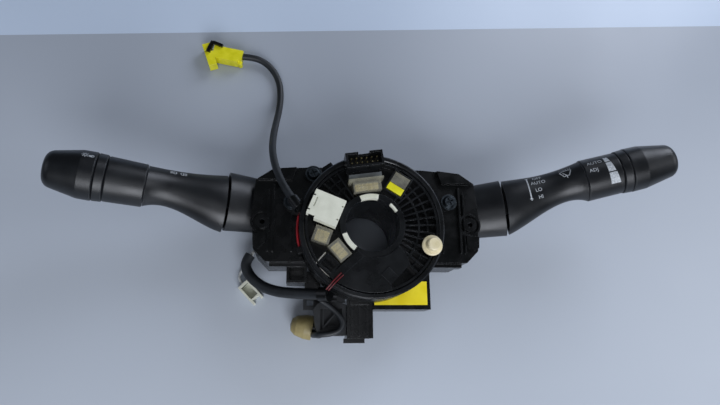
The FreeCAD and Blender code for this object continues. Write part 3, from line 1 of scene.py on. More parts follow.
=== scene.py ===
import math
import bpy
import bmesh
from mathutils import Matrix, Vector
from mathutils.bvhtree import BVHTree


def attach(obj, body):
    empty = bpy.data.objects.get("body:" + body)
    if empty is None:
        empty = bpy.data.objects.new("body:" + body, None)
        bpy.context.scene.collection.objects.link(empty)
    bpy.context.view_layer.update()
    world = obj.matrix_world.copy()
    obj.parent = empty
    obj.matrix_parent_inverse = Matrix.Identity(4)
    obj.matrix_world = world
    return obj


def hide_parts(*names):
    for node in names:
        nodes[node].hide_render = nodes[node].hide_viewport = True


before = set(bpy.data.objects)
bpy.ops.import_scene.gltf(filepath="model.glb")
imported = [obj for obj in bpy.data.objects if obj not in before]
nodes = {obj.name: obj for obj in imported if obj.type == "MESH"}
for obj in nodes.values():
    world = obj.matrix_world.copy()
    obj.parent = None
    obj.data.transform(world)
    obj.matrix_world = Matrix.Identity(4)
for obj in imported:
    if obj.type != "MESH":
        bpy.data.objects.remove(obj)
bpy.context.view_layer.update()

mm = 0.001
scene = bpy.context.scene
print("frame loaded:", len(nodes), "nodes")


# small helpers

def linear(code):
    channels = [int(code[i:i + 2], 16) / 255 for i in (1, 3, 5)]  # srgb hex in, linear rgba out
    return tuple(c / 12.92 if c <= 0.04045 else ((c + 0.055) / 1.055) ** 2.4 for c in channels) + (1.0,)


def addNode(tree, kind, settings=None, links=None):
    # settings and links take a socket by its name or number, and settings also take the node's own properties
    node = tree.nodes.new(kind)
    for key, value in (settings or {}).items():
        if isinstance(key, str) and key not in node.inputs:
            setattr(node, key, value)
        else:
            node.inputs[key].default_value = value
    for key, source in (links or {}).items():
        tree.links.new(source, node.inputs[key])
    return node


def millimetres(points):
    return [Vector(point) * mm for point in points]


def addMesh(name, shape, material, body):
    # turns a finished bmesh into a piece that rides on a body
    mesh = bpy.data.meshes.new(name)
    shape.to_mesh(mesh)
    shape.free()
    mesh.materials.append(material)
    piece = bpy.data.objects.new(name, mesh)
    scene.collection.objects.link(piece)
    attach(piece, body)
    return piece


# materials: the real stuff first, then what it gives the eye

mouldings = {
    # polypropylene from a spark-eroded tool: charcoal, an even soft sheen, grain drawn coarse enough to show
    "sparkErodedPolypropylene": {"dark": "#0a0c0f", "light": "#0f1215", "roughness": 0.38, "cloud": 16.0,
                                 "grain": 0.8, "depth": 0.05, "edge": 0.4, "wornAndHighlight": "#2a2e33"},
    # glass-filled nylon straight from the tool: deep black, satin, with faint flow clouds
    "glassFilledNylon": {"dark": "#030404", "light": "#060708", "roughness": 0.27, "cloud": 9.0,
                         "grain": 1.3, "depth": 0.04, "edge": 0.3, "wornAndHighlight": "#1d2023"},
    # the same nylon with a film of dust: dull dark grey
    "dustyNylon": {"dark": "#17191b", "light": "#222426", "roughness": 0.56, "cloud": 6.0,
                   "grain": 1.1, "depth": 0.05, "edge": 0.3, "wornAndHighlight": "#34373a"},
    # black acetal: smoother than the nylon, its ribs catch a thin bright edge, partly a painted highlight in
    # the lighter edge colour
    "blackAcetal": {"dark": "#08090a", "light": "#0f1113", "roughness": 0.28, "cloud": 12.0,
                    "grain": 1.6, "depth": 0.03, "edge": 0.3, "wornAndHighlight": "#2c3035"},
    # off-white polybutylene: chalky with a slight warm cast
    "whitePolybutylene": {"dark": "#cfd0bf", "light": "#dbdccb", "roughness": 0.44, "cloud": 7.0,
                          "grain": 1.2, "depth": 0.03, "edge": 0.35, "wornAndHighlight": "#eeeee8"},
    # ivory acetal: warm and slightly waxy
    "ivoryAcetal": {"dark": "#dacda4", "light": "#e5d9b6", "roughness": 0.32, "cloud": 6.0,
                    "grain": 1.6, "depth": 0.02, "edge": 0.35, "wornAndHighlight": "#efe8d2"},
    # lemon nylon: a clean strong yellow
    "lemonNylon": {"dark": "#d6d018", "light": "#e6df2c", "roughness": 0.36, "cloud": 6.0,
                   "grain": 1.4, "depth": 0.03, "edge": 0.3, "wornAndHighlight": "#efe94e"},
    # grey nylon: flat and cool
    "greyNylon": {"dark": "#55595b", "light": "#65696b", "roughness": 0.42, "cloud": 6.0,
                  "grain": 1.4, "depth": 0.03, "edge": 0.3, "wornAndHighlight": "#84888a"},
    # beige vinyl cap: waxy, olive beige, faintly uneven from dipping
    "beigeVinyl": {"dark": "#80734a", "light": "#96895c", "roughness": 0.46, "cloud": 9.0,
                   "grain": 4.5, "depth": 0.12, "edge": 0.5, "wornAndHighlight": "#a99e7a"},
    # cream nylon holders that show through the milky shells
    "creamNylon": {"dark": "#c2b27a", "light": "#dccf9c", "roughness": 0.42, "cloud": 5.0,
                   "grain": 1.4, "depth": 0.03, "edge": 0.25, "wornAndHighlight": "#d9cfa8"},
    # uncoloured acetal: milk white
    "naturalAcetal": {"dark": "#d8d4c6", "light": "#e4e0d4", "roughness": 0.34, "cloud": 6.0,
                      "grain": 1.6, "depth": 0.02, "edge": 0.2, "wornAndHighlight": "#efece2"},
    # polyester label film, plain yellow under a clear laminate
    "yellowFilm": {"dark": "#e6d01e", "light": "#f0dc2c", "roughness": 0.36, "cloud": 10.0,
                   "grain": 5.0, "depth": 0.02, "edge": 0.1, "wornAndHighlight": "#e9d65a"},
    # soft vinyl sleeve: dull black with a fine wrinkle
    "softVinyl": {"dark": "#14171a", "light": "#1e2226", "roughness": 0.52, "cloud": 8.0,
                  "grain": 1.1, "depth": 0.12, "edge": 0.2, "wornAndHighlight": "#2a2e33"},
    # white vinyl wire insulation
    "whiteInsulation": {"dark": "#d0d2ce", "light": "#dfe0dc", "roughness": 0.4, "cloud": 5.0,
                        "grain": 1.0, "depth": 0.02, "edge": 0.1, "wornAndHighlight": "#e8e9e6"},
    # red vinyl wire insulation
    "redInsulation": {"dark": "#86101a", "light": "#a01722", "roughness": 0.38, "cloud": 5.0,
                      "grain": 1.0, "depth": 0.02, "edge": 0.1, "wornAndHighlight": "#b83026"},
    # the same red insulation with painted shade: darker, for the short wires at the cable outlet, where they
    # lie in shade
    "shadedRedInsulation": {"dark": "#4c0a10", "light": "#6a1018", "roughness": 0.4, "cloud": 3.0,
                          "grain": 1.0, "depth": 0.02, "edge": 0.1, "wornAndHighlight": "#8a2028"},
    # pad-printed ink: flat pale grey, a touch thin where the pad lifted
    "padPrintInk": {"dark": "#9fa4a8", "light": "#c6cacd", "roughness": 0.55, "cloud": 1.2,
                    "grain": 0.5, "depth": 0.01, "edge": 0.05, "wornAndHighlight": "#cfd3d6"},
}


def mouldedPlastic(name, looks):
    material = bpy.data.materials.new(name)
    material.use_nodes = True
    tree = material.node_tree
    tree.nodes.clear()
    place = addNode(tree, "ShaderNodeTexCoord").outputs["Object"]
    cloud = addNode(tree, "ShaderNodeTexNoise", {"Scale": 1 / (looks["cloud"] * mm), "Detail": 3.0},
                    {"Vector": place}).outputs["Fac"]
    cloudSpread = addNode(tree, "ShaderNodeMapRange", {"From Min": 0.35, "From Max": 0.65},
                          {"Value": cloud}).outputs["Result"]
    body = addNode(tree, "ShaderNodeMix", {
        "data_type": "RGBA", 6: linear(looks["dark"]), 7: linear(looks["light"])}, {0: cloudSpread}).outputs[2]
    rounded = addNode(tree, "ShaderNodeBevel", {"samples": 4, "Radius": looks["edge"] * mm}).outputs["Normal"]
    flat = addNode(tree, "ShaderNodeNewGeometry").outputs["Normal"]
    same = addNode(tree, "ShaderNodeVectorMath", {"operation": "DOT_PRODUCT"},
                   {0: rounded, 1: flat}).outputs["Value"]
    # edges take a lighter colour: edge wear together with a painted highlight along every edge
    edgeWearAndHighlight = addNode(tree, "ShaderNodeMapRange", {"From Min": 0.97, "From Max": 0.75},
                     {"Value": same}).outputs["Result"]
    colour = addNode(tree, "ShaderNodeMix", {"data_type": "RGBA", 7: linear(looks["wornAndHighlight"])},
                     {0: edgeWearAndHighlight, 6: body}).outputs[2]
    gloss = addNode(tree, "ShaderNodeMapRange", {
        "From Min": 0.3, "From Max": 0.7, "To Min": looks["roughness"] - 0.06,
        "To Max": looks["roughness"] + 0.06}, {"Value": cloud}).outputs["Result"]
    grain = addNode(tree, "ShaderNodeTexNoise", {"Scale": 1 / (looks["grain"] * mm), "Detail": 2.0},
                    {"Vector": place}).outputs["Fac"]
    surface = addNode(tree, "ShaderNodeBump", {"Distance": looks["depth"] * mm},
                      {"Height": grain, "Normal": rounded})
    shader = addNode(tree, "ShaderNodeBsdfPrincipled", {"IOR": 1.5}, {
        "Base Color": colour, "Roughness": gloss, "Normal": surface.outputs["Normal"]})
    addNode(tree, "ShaderNodeOutputMaterial", None, {"Surface": shader.outputs[0]})
    return material


def milkyPolyamide():
    # unfilled polyamide, walls of about 1.5 mm: cloudy but see-through, so what stands inside shows softly
    material = bpy.data.materials.new("milkyPolyamide")
    material.use_nodes = True
    tree = material.node_tree
    tree.nodes.clear()
    place = addNode(tree, "ShaderNodeTexCoord").outputs["Object"]
    cloud = addNode(tree, "ShaderNodeTexNoise", {"Scale": 1 / (5 * mm), "Detail": 3.0},
                    {"Vector": place}).outputs["Fac"]
    colour = addNode(tree, "ShaderNodeMix", {"data_type": "RGBA", 6: linear("#c4c1ae"), 7: linear("#dcd9c8")},
                     {0: cloud}).outputs[2]
    rounded = addNode(tree, "ShaderNodeBevel", {"samples": 4, "Radius": 0.4 * mm}).outputs["Normal"]
    shader = addNode(tree, "ShaderNodeBsdfPrincipled", {"IOR": 1.35, "Roughness": 0.22}, {
        "Base Color": colour, "Normal": rounded})
    clear = addNode(tree, "ShaderNodeBsdfTransparent", {"Color": linear("#f2f0e6")})
    haze = addNode(tree, "ShaderNodeMapRange", {
        "From Min": 0.3, "From Max": 0.7, "To Min": 0.7, "To Max": 0.84}, {"Value": cloud}).outputs["Result"]
    shell = addNode(tree, "ShaderNodeMixShader", None, {0: haze, 1: shader.outputs[0], 2: clear.outputs[0]})
    addNode(tree, "ShaderNodeOutputMaterial", None, {"Surface": shell.outputs[0]})
    return material


metals = {
    # zinc over steel: cool grey with a crystalline mottle
    "zincPlate": {"dark": "#7d8081", "light": "#a9abaa", "rough": (0.3, 0.46), "mottle": 1.4},
    # black passivated zinc: dark grey with a faint blue sheen
    "blackZinc": {"dark": "#2b3034", "light": "#565d62", "rough": (0.34, 0.48), "mottle": 1.6},
    # tin over brass: pale warm metal
    "tinnedBrass": {"dark": "#b09d6c", "light": "#cabd96", "rough": (0.24, 0.36), "mottle": 0.9},
    # sintered ferrite: dark grey, dull, with mineral specks
    "sinteredFerrite": {"dark": "#232428", "light": "#3a3c40", "rough": (0.5, 0.7), "mottle": 0.5},
}


def mottledMetal(name, looks):
    material = bpy.data.materials.new(name)
    material.use_nodes = True
    tree = material.node_tree
    tree.nodes.clear()
    place = addNode(tree, "ShaderNodeTexCoord").outputs["Object"]
    mottle = addNode(tree, "ShaderNodeTexNoise", {"Scale": 1 / (looks["mottle"] * mm), "Detail": 4.0},
                     {"Vector": place}).outputs["Fac"]
    colour = addNode(tree, "ShaderNodeMix", {
        "data_type": "RGBA", 6: linear(looks["dark"]), 7: linear(looks["light"])}, {0: mottle}).outputs[2]
    gloss = addNode(tree, "ShaderNodeMapRange", {
        "From Min": 0.3, "From Max": 0.7, "To Min": looks["rough"][0],
        "To Max": looks["rough"][1]}, {"Value": mottle}).outputs["Result"]
    rounded = addNode(tree, "ShaderNodeBevel", {"samples": 4, "Radius": 0.25 * mm}).outputs["Normal"]
    surface = addNode(tree, "ShaderNodeBump", {"Distance": 0.02 * mm}, {"Height": mottle, "Normal": rounded})
    shader = addNode(tree, "ShaderNodeBsdfPrincipled", {"Metallic": 1.0}, {
        "Base Color": colour, "Roughness": gloss, "Normal": surface.outputs["Normal"]})
    addNode(tree, "ShaderNodeOutputMaterial", None, {"Surface": shader.outputs[0]})
    return material


striped = {
    # glass epoxy under green resist: copper tracks 1 mm apart show darker through it
    "glassEpoxy": {"dark": "#0d3a1e", "light": "#17592f", "pitch": 2.0, "axis": "DIAGONAL",
                   "rough": 0.35, "bend": 5.0},
    # flat cable: clear polyester film over copper tracks 2.4 mm apart
    "polyesterRibbon": {"dark": "#b07b4c", "light": "#b9c1c6", "pitch": 2.4, "axis": "Z",
                        "rough": 0.25, "bend": 0.0},
}


def stripedLaminate(name, looks):
    material = bpy.data.materials.new(name)
    material.use_nodes = True
    tree = material.node_tree
    tree.nodes.clear()
    place = addNode(tree, "ShaderNodeTexCoord").outputs["Object"]
    wave = 2 * math.pi / (20 * looks["pitch"] * mm)  # the wave texture has 20 radians to a unit
    bands = addNode(tree, "ShaderNodeTexWave", {"bands_direction": looks["axis"], "Scale": wave,
                    "Distortion": looks["bend"]}, {"Vector": place}).outputs["Fac"]
    colour = addNode(tree, "ShaderNodeMix", {
        "data_type": "RGBA", 6: linear(looks["dark"]), 7: linear(looks["light"])}, {0: bands}).outputs[2]
    shader = addNode(tree, "ShaderNodeBsdfPrincipled", {"IOR": 1.55, "Roughness": looks["rough"]},
                     {"Base Color": colour})
    addNode(tree, "ShaderNodeOutputMaterial", None, {"Surface": shader.outputs[0]})
    return material


stuff = {name: mouldedPlastic(name, looks) for name, looks in mouldings.items()}
stuff.update({name: mottledMetal(name, looks) for name, looks in metals.items()})
stuff.update({name: stripedLaminate(name, looks) for name, looks in striped.items()})
stuff["milkyPolyamide"] = milkyPolyamide()

finishes = {
    "sparkErodedPolypropylene": ["left_shroud", "right_shroud", "left_lever", "right_lever",
                                 "left_fixed_ring", "right_fixed_ring", "fog_lamp_ring", "interval_ring",
                                 "light_knob", "right_end_cap"],
    "glassFilledNylon": ["switch_base", "left_switch_case", "right_switch_case", "stator_case", "sensor_case",
                         "sensor_cover", "lower_connector", "lock_tab", "capped_plug", "yellow_latch"],
    "dustyNylon": ["harness_bracket"],
    "blackAcetal": ["stator_cover", "rotor", "sector_cover", "upper_connector", "black_connector"],
    "whitePolybutylene": ["cancel_cam", "lead_cover", "white_plug"],
    "ivoryAcetal": ["lock_pin"],
    "lemonNylon": ["yellow_insert", "yellow_plug"],
    "greyNylon": ["connector_bridge"],
    "creamNylon": ["connector_holders"],
    "beigeVinyl": ["beige_cap"],
    "naturalAcetal": ["left_yoke", "right_yoke", "hub_gear", "first_measuring_gear", "second_measuring_gear"],
    "yellowFilm": ["sensor_label"],
    "softVinyl": ["long_lead", "black_sleeve"],
    "whiteInsulation": ["white_plug_wires"],
    "redInsulation": ["red_wires"],
    "zincPlate": ["left_hinge_pin", "right_hinge_pin"],
    "blackZinc": ["ring_screws"],
    "tinnedBrass": ["connector_pins"],
    "sinteredFerrite": ["first_magnet", "second_magnet"],
    "glassEpoxy": ["left_contact_board", "right_contact_board", "sensor_board"],
    "polyesterRibbon": ["flat_cable"],
    "milkyPolyamide": ["clear_connector_upper", "clear_connector_side", "clear_connector_lower",
                       "pocket_block"],
}
for finish, names in finishes.items():
    for name in names:
        if name in nodes:
            nodes[name].data.materials.clear()
            nodes[name].data.materials.append(stuff[finish])
bare = set(nodes) - {name for names in finishes.values() for name in names}
print("materials:", len(stuff), "nodes without one:", sorted(bare))


# camera, where the photograph was taken from

view = {
    "place": (-49.85, -79.73, 419.80),  # mm
    "right": (0.99321, -0.00915, 0.11600),
    "up": (-0.02198, 0.96421, 0.26422),
    "back": (-0.11427, -0.26497, 0.95746),
    "lens": 26.0,
    "sensorWidth": 36.0,
}


def addCamera():
    lens = bpy.data.cameras.new("camera")
    lens.lens = view["lens"]
    lens.sensor_width = view["sensorWidth"]
    camera = bpy.data.objects.new("camera", lens)
    turn = Matrix((view["right"], view["up"], view["back"])).transposed().to_4x4()
    camera.matrix_world = Matrix.Translation(Vector(view["place"]) * mm) @ turn
    scene.collection.objects.link(camera)
    scene.camera = camera


addCamera()


# leads: control points in mm, the same routes as the solids
# strands: short ones that the scene adds and the object holds all the way

leads = {
    "longLead": {
        "node": "long_lead", "body": "base", "finish": "softVinyl", "slot": "black_vinyl",
        "diameter": 5.5, "length": 192.0,
        "stiffness": "medium", "end": "connector", "pieces": ["yellow_plug", "yellow_latch"],
        "points": [(-55.0, 17.6, 73.6), (-59.9, 25.2, 70.2), (-64.2, 34.2, 65.6), (-68.0, 44.8, 60.4),
                   (-70.6, 56.0, 54.0), (-71.8, 68.0, 45.0), (-71.8, 81.4, 34.0), (-71.0, 96.2, 20.8),
                   (-69.6, 111.6, 9.6), (-68.6, 127.0, 3.6), (-69.6, 141.0, 2.85), (-74.6, 153.0, 3.0),
                   (-83.2, 161.2, 4.4), (-93.0, 164.4, 6.0), (-102.4, 164.4, 6.2)],
    },
    "blackSleeve": {
        "node": "black_sleeve", "body": "base", "finish": "softVinyl", "slot": "black_vinyl",
        "diameter": 8.0, "length": 83.9,
        "stiffness": "limp", "end": "bare", "pieces": [],
        "points": [(-34.5, -44.6, 47.5), (-41.6, -44.0, 42.4), (-49.6, -43.1, 36.8), (-57.9, -42.1, 31.0),
                   (-66.0, -40.5, 25.4), (-74.0, -37.6, 20.4), (-81.2, -33.2, 16.6), (-86.9, -27.6, 14.0),
                   (-90.2, -21.8, 12.9), (-90.4, -16.2, 12.6), (-87.4, -11.4, 12.3)],
    },
    "plugWires": {
        "node": "white_plug_wires", "body": "base", "finish": "whiteInsulation", "slot": "white_vinyl",
        "diameter": 2.0,
        "length": 38.3, "stiffness": "limp", "end": "connector", "pieces": ["white_plug"],
        "points": [(-87.4, -11.4, 12.3), (-85.4, -8.2, 11.6), (-85.3, -7.9, 7.2), (-87.4, -11.6, 4.2),
                   (-90.2, -15.8, 2.2), (-93.6, -20.4, 1.7), (-96.0, -25.2, 2.8), (-95.6, -29.9, 4.9),
                   (-92.7, -32.93, 4.9)],
    },
}


def addTube(name, facts, smoothness, sides):
    curve = bpy.data.curves.new(name, "CURVE")
    curve.dimensions = "3D"
    curve.resolution_u = smoothness
    curve.bevel_depth = facts["diameter"] / 2 * mm
    curve.bevel_resolution = sides
    curve.use_fill_caps = True
    spline = curve.splines.new("NURBS")
    spline.points.add(len(facts["points"]) - 1)
    for point, place in zip(spline.points, millimetres(facts["points"])):
        point.co = (*place, 1.0)
    spline.order_u = 3
    spline.use_endpoint_u = True
    curve.materials.append(stuff[facts["finish"]])
    tube = bpy.data.objects.new(name, curve)
    scene.collection.objects.link(tube)
    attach(tube, facts["body"])
    return tube


def addLead(name, facts):
    lead = addTube(name, facts, 10, 6)
    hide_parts(facts["node"])


for name, facts in leads.items():
    addLead(name, facts)
print("leads:", len(leads))


strands = {
    "capLead": {
        "finish": "softVinyl", "slot": "black_vinyl", "body": "base", "diameter": 4.0,
        "points": [(-33.6, -48.6, 43.0), (-29.3, -51.2, 42.6), (-23.9, -55.4, 42.4), (-19.4, -60.1, 42.4),
                   (-17.5, -64.8, 42.4), (-19.8, -69.2, 42.4), (-25.3, -71.4, 42.4), (-31.2, -72.2, 42.0),
                   (-36.2, -72.3, 39.0), (-38.2, -72.5, 30.0), (-38.5, -71.9, 20.0), (-36.5, -70.6, 11.0)],
    },
    # the two horn wires take the red insulation with painted shade
    "hornWireFirst": {
        "finish": "shadedRedInsulation", "slot": "red_vinyl", "body": "rotor", "diameter": 0.9,
        "points": [(-31.6, -44.1, 76.0), (-29.4, -41.4, 78.0), (-25.5, -37.1, 78.4), (-21.9, -33.4, 77.4)],
    },
    "hornWireSecond": {
        "finish": "shadedRedInsulation", "slot": "red_vinyl", "body": "rotor", "diameter": 0.9,
        "points": [(-30.2, -44.7, 76.0), (-27.8, -42.0, 78.2), (-23.9, -37.9, 78.6), (-20.5, -34.8, 77.4)],
    },
}


for name, facts in strands.items():
    addTube(name, facts, 8, 4)
print("strands:", len(strands))


# small plates and walls beside the solids

def addPlates(name, facts):
    shape = bmesh.new()
    swing = Matrix.Rotation(math.radians(facts["turn"]), 4, "Z")
    move = Matrix.Translation(Vector((*facts["at"], 0.0)) * mm) @ swing
    for middle, sides in facts["plates"]:
        spot = move @ Matrix.Translation(Vector(middle) * mm)
        bmesh.ops.create_cube(shape, size=1.0, matrix=spot @ Matrix.Diagonal((*(Vector(sides) * mm), 1.0)))
    bmesh.ops.bevel(shape, geom=shape.edges[:], offset=facts["edge"] * mm, segments=2, profile=0.5,
                    affect="EDGES")
    return addMesh(name, shape, stuff[facts["finish"]], facts["body"])


def levelOf(name, top=False):
    heights = [corner[2] for corner in nodes[name].bound_box]
    return (max(heights) if top else min(heights)) / mm


disc = levelOf("black_connector")
front = levelOf("harness_bracket", True)
tray = {"wall": 0.9, "height": 6.4, "length": 13.6, "width": 11.8}
plates = {
    # mm: the middle and the three sides of each plate, before they turn together and move to their place
    "trayWalls": {"finish": "naturalAcetal", "body": "rotor", "turn": -40.0, "at": (-30.0, -27.4), "edge": 0.2,
     "plates": [
        ((0.0, -tray["width"] / 2, disc + tray["height"] / 2),
         (tray["length"] * 0.86, tray["wall"], tray["height"])),
        ((-tray["length"] / 2, 0.0, disc + tray["height"] / 2),
         (tray["wall"], tray["width"] * 0.8, tray["height"])),
    ]},
    "bracketFloor": {"finish": "dustyNylon", "body": "base", "turn": 0.0, "at": (0.0, 0.0), "edge": 0.25,
     "plates": [
        ((-26.2, -61.5, front - 4.2), (15.8, 15.3, 1.6)),
        ((-31.8, -61.5, front - 2.6), (1.2, 15.0, 3.0)),
        ((-23.6, -66.2, front - 2.6), (9.0, 1.2, 3.0)),
    ]},
    "bracketBrace": {"finish": "dustyNylon", "body": "base", "turn": 48.0, "at": (-27.6, -62.6), "edge": 0.25,
     "plates": [
        ((0.0, 0.0, front - 2.4), (13.0, 1.2, 3.4)),
    ]},
    "bracketClip": {"finish": "dustyNylon", "body": "base", "turn": 0.0, "at": (0.0, 0.0), "edge": 0.2,
     "plates": [
        ((-22.5, -46.9, 38.0), (13.0, 6.4, 3.0)),
        ((-24.5, -45.2, 40.0), (5.0, 1.0, 2.0)),
        ((-24.5, -48.6, 40.0), (5.0, 1.0, 2.0)),
    ]},
    "harnessShelf": {"finish": "glassFilledNylon", "body": "base", "turn": 0.0, "at": (0.0, 0.0), "edge": 0.4,
     "plates": [
        ((-39.4, -33.0, 32.0), (11.6, 13.0, 4.0)),
        ((-38.2, -39.6, 31.0), (8.4, 7.0, 4.0)),
    ]},
    "plugRetainer": {"finish": "glassFilledNylon", "body": "base", "turn": -46.2, "at": (-86.4, -39.45),
                     "edge": 0.2, "plates": [((-7.6, 0.0, 6.0), (1.3, 9.0, 4.4))]},
}
for name, facts in plates.items():
    addPlates(name, facts)
print("plates:", len(plates))


# printed marks: flat drawings dropped on the levers along the way they face

leverFrames = {
    "left": {"origin": (-158.5, 30.3, 53.4712), "axis": (-0.952369, 0.086672, 0.292372),
             "up": (0.09063, 0.99588, 0.0)},
    "right": {"origin": (167.5, 41.8, 56.2228), "axis": (0.937107, 0.190657, 0.292372),
              "up": (-0.19937, 0.97992, 0.0)},
}
marks = {
    "proud": 0.06,  # mm of ink over the surface
    "letter": 2.9,  # mm, height of a capital
    "stroke": 0.55,  # mm, width of a drawn line
    "words": [
        ("OFF", "right_lever", "right_lever", "right", -33.5, 50),
        ("AUTO", "right_lever", "right_lever", "right", -33.8, 27),
        ("LO", "right_lever", "right_lever", "right", -35.1, -3),
        ("HI", "right_lever", "right_lever", "right", -34.9, -28),
        ("AUTO", "interval_ring", "interval_ring", "right", 9.2, 35),
        ("ADJ", "interval_ring", "interval_ring", "right", 6.6, 12),
    ],
}
surfaces = {}


def surfaceOf(node):
    if node not in surfaces:
        mesh = nodes[node].data
        surfaces[node] = BVHTree.FromPolygons([vertex.co for vertex in mesh.vertices],
                                              [face.vertices for face in mesh.polygons])
    return surfaces[node]


def leverAxes(side):
    facts = leverFrames[side]
    axis, up = Vector(facts["axis"]), Vector(facts["up"])
    driver = axis.cross(up) if side == "right" else up.cross(axis)
    rightward = axis if side == "right" else -axis
    return Vector(facts["origin"]) * mm, axis, rightward, up, driver


def layOn(name, shape, node, body, side, along, angle):
    # shape is a flat bmesh in mm with x to the reader's right and y up
    origin, axis, rightward, up, driver = leverAxes(side)
    facing = driver * math.cos(math.radians(angle)) + up * math.sin(math.radians(angle))
    rise = up * math.cos(math.radians(angle)) - driver * math.sin(math.radians(angle))
    tree = surfaceOf(node)
    lost = []
    for vertex in shape.verts:
        start = origin + axis * along * mm + facing * 60 * mm
        start += rightward * vertex.co.x * mm + rise * vertex.co.y * mm
        hit, normal, _, _ = tree.ray_cast(start, -facing)
        if hit is None:
            lost.append(vertex)
        else:
            vertex.co = hit + facing * marks["proud"] * mm
    bmesh.ops.delete(shape, geom=lost, context="VERTS")
    return addMesh(name, shape, stuff["padPrintInk"], body)


def finelyCut(shape, longest):
    # so that a flat drawing can follow a round surface
    bmesh.ops.triangulate(shape, faces=shape.faces[:])
    for _ in range(6):
        edges = [edge for edge in shape.edges if edge.calc_length() > longest]
        if not edges:
            break
        bmesh.ops.subdivide_edges(shape, edges=edges, cuts=1)
        bmesh.ops.triangulate(shape, faces=[face for face in shape.faces if len(face.verts) > 3])
    return shape


def wordShape(text, height):
    letters = bpy.data.curves.new(text, "FONT")
    letters.body = text
    letters.size = height / 0.73
    letters.align_x = "CENTER"
    letters.align_y = "CENTER"
    letters.resolution_u = 3
    sign = bpy.data.objects.new(text, letters)
    flat = bpy.data.meshes.new_from_object(sign)
    shape = bmesh.new()
    shape.from_mesh(flat)
    bpy.data.objects.remove(sign)
    bpy.data.meshes.remove(flat)
    return finelyCut(shape, 0.8)


def strokeShape(lines, width):
    # each line is a list of points, drawn as a strip of the given width
    shape = bmesh.new()
    for line in lines:
        points = [Vector(point) for point in line]
        closed = (points[0] - points[-1]).length < 1e-6
        pairs = []
        for i, point in enumerate(points):
            before = points[i - 1] if i else (points[-2] if closed else points[0])
            after = points[i + 1] if i + 1 < len(points) else (points[1] if closed else points[-1])
            way = (after - before).normalized()
            side = Vector((-way.y, way.x)) * width / 2
            pairs.append([shape.verts.new((*(point + s), 0.0)) for s in (side, -side)])
        for (a, b), (c, d) in zip(pairs, pairs[1:]):
            shape.faces.new((a, b, d, c))
    return finelyCut(shape, 0.8)


def arc(centre, radius, first, last, steps=12):
    turns = [math.radians(first + (last - first) * i / steps) for i in range(steps + 1)]
    return [(centre[0] + radius * math.cos(t), centre[1] + radius * math.sin(t)) for t in turns]


def wiperSign():
    glass = arc((0, -5.6), 8.8, 119, 61) + arc((0, -5.6), 3.8, 61, 119) + arc((0, -5.6), 8.8, 119, 118, 1)
    arm = [(0.3, -3.7), (-0.1, -1.3), (-2.2, 1.3)]
    spray = [[(x, 4.6 - abs(x) * 0.1), (x + 0.6, 4.6 - abs(x + 0.6) * 0.1)]
             for x in (-4.1, -2.5, -0.9, 0.7, 2.3, 3.9)]
    return [glass, arm] + spray


def lampSign():
    rays = [[(1.6 * math.cos(t), 1.6 * math.sin(t)), (2.3 * math.cos(t), 2.3 * math.sin(t))]
            for t in (math.radians(45 * i) for i in range(8))]
    return [arc((0, 0), 1.0, 0, 360, 18)] + rays


def beamSign(mirror, grow=1.0):
    outline = arc((0, 0), 1.5, 90, -90, 10) + [(-0.4, -1.5), (-0.4, 1.5), (0, 1.5)]
    lens = [(mirror * x * grow, y * grow) for x, y in outline]
    beams = [[(mirror * -1.0 * grow, y * grow), (mirror * -2.8 * grow, (y - 0.4) * grow)]
             for y in (1.1, 0.1, -0.9)]
    return [lens] + beams


def wedgeShape(radius, first, last, top, bottom):
    # one block of the rising scale, between two angles on the ring
    # its left side is square and its right side leans out
    half = radius * math.sin(math.radians(first - last) / 2)
    shape = bmesh.new()
    corners = [(0, -half), (bottom, -half), (top, half), (0, half)]
    shape.faces.new([shape.verts.new((x, y, 0)) for x, y in corners])
    return finelyCut(shape, 0.8)


for i, (text, node, body, side, along, angle) in enumerate(marks["words"]):
    layOn("word" + text.capitalize() + str(i), wordShape(text, marks["letter"]), node, body, side, along,
          angle)

scale = {
    "along": 16.4,  # mm, where the square side stands on the ring
    "radius": 15.9,
    # two angles, then the width at the top and at the bottom
    "blocks": [(46, 29, 2.8, 3.7), (26, -2, 4.0, 5.3), (-5, -37, 5.6, 7.0)],
}
for i, (first, last, top, bottom) in enumerate(scale["blocks"]):
    layOn("scaleBlock" + str(i), wedgeShape(scale["radius"], first, last, top, bottom), "interval_ring",
          "interval_ring", "right", scale["along"], (first + last) / 2)

signs = [
    ("wiperSign", wiperSign(), "right_lever", "right_lever", "right", -12.1, 33),
    ("levelLine", [[(0.7, 8.4), (-0.5, -9.5)], [(0.9, 8.4), (-0.3, -9.5)], [(1.1, 8.4), (-0.1, -9.5)],
                   [(-0.4, 8.6), (2.1, 8.6)],
                   [(-1.2, -9.4), (-0.3, -8.4), (0.7, -9.4), (-0.3, -10.4), (-1.2, -9.4)]],
     "right_lever", "right_lever", "right", -42.0, 14),
    ("lampSign", lampSign(), "light_knob", "light_knob", "left", 39.8, 38),
    ("beamSignNear", beamSign(1, 0.7), "light_knob", "light_knob", "left", 35.6, 36),
    ("fogSign", beamSign(1), "left_lever", "left_lever", "left", -17.0, 57),
    ("fogSignRear", beamSign(-1), "left_lever", "left_lever", "left", -22.8, 57),
]
for name, lines, node, body, side, along, angle in signs:
    layOn(name, strokeShape(lines, marks["stroke"]), node, body, side, along, angle)
print("marks:", len(marks["words"]) + len(signs) + len(scale["blocks"]))


# floor and light

floorFacts = {
    "halfSize": 1.6,  # m
    # near and far: the table colour is painted darker towards the far side, painted shade
    "near": "#b9c0c9",
    "far": "#a6adb7",
    "board": "#c3d1e3",  # paler board behind the table
    "edge": ((-305.6, 176.7), (373.7, 232.6)),  # mm, two points of the line where the board starts
    "roughness": 0.3,
}


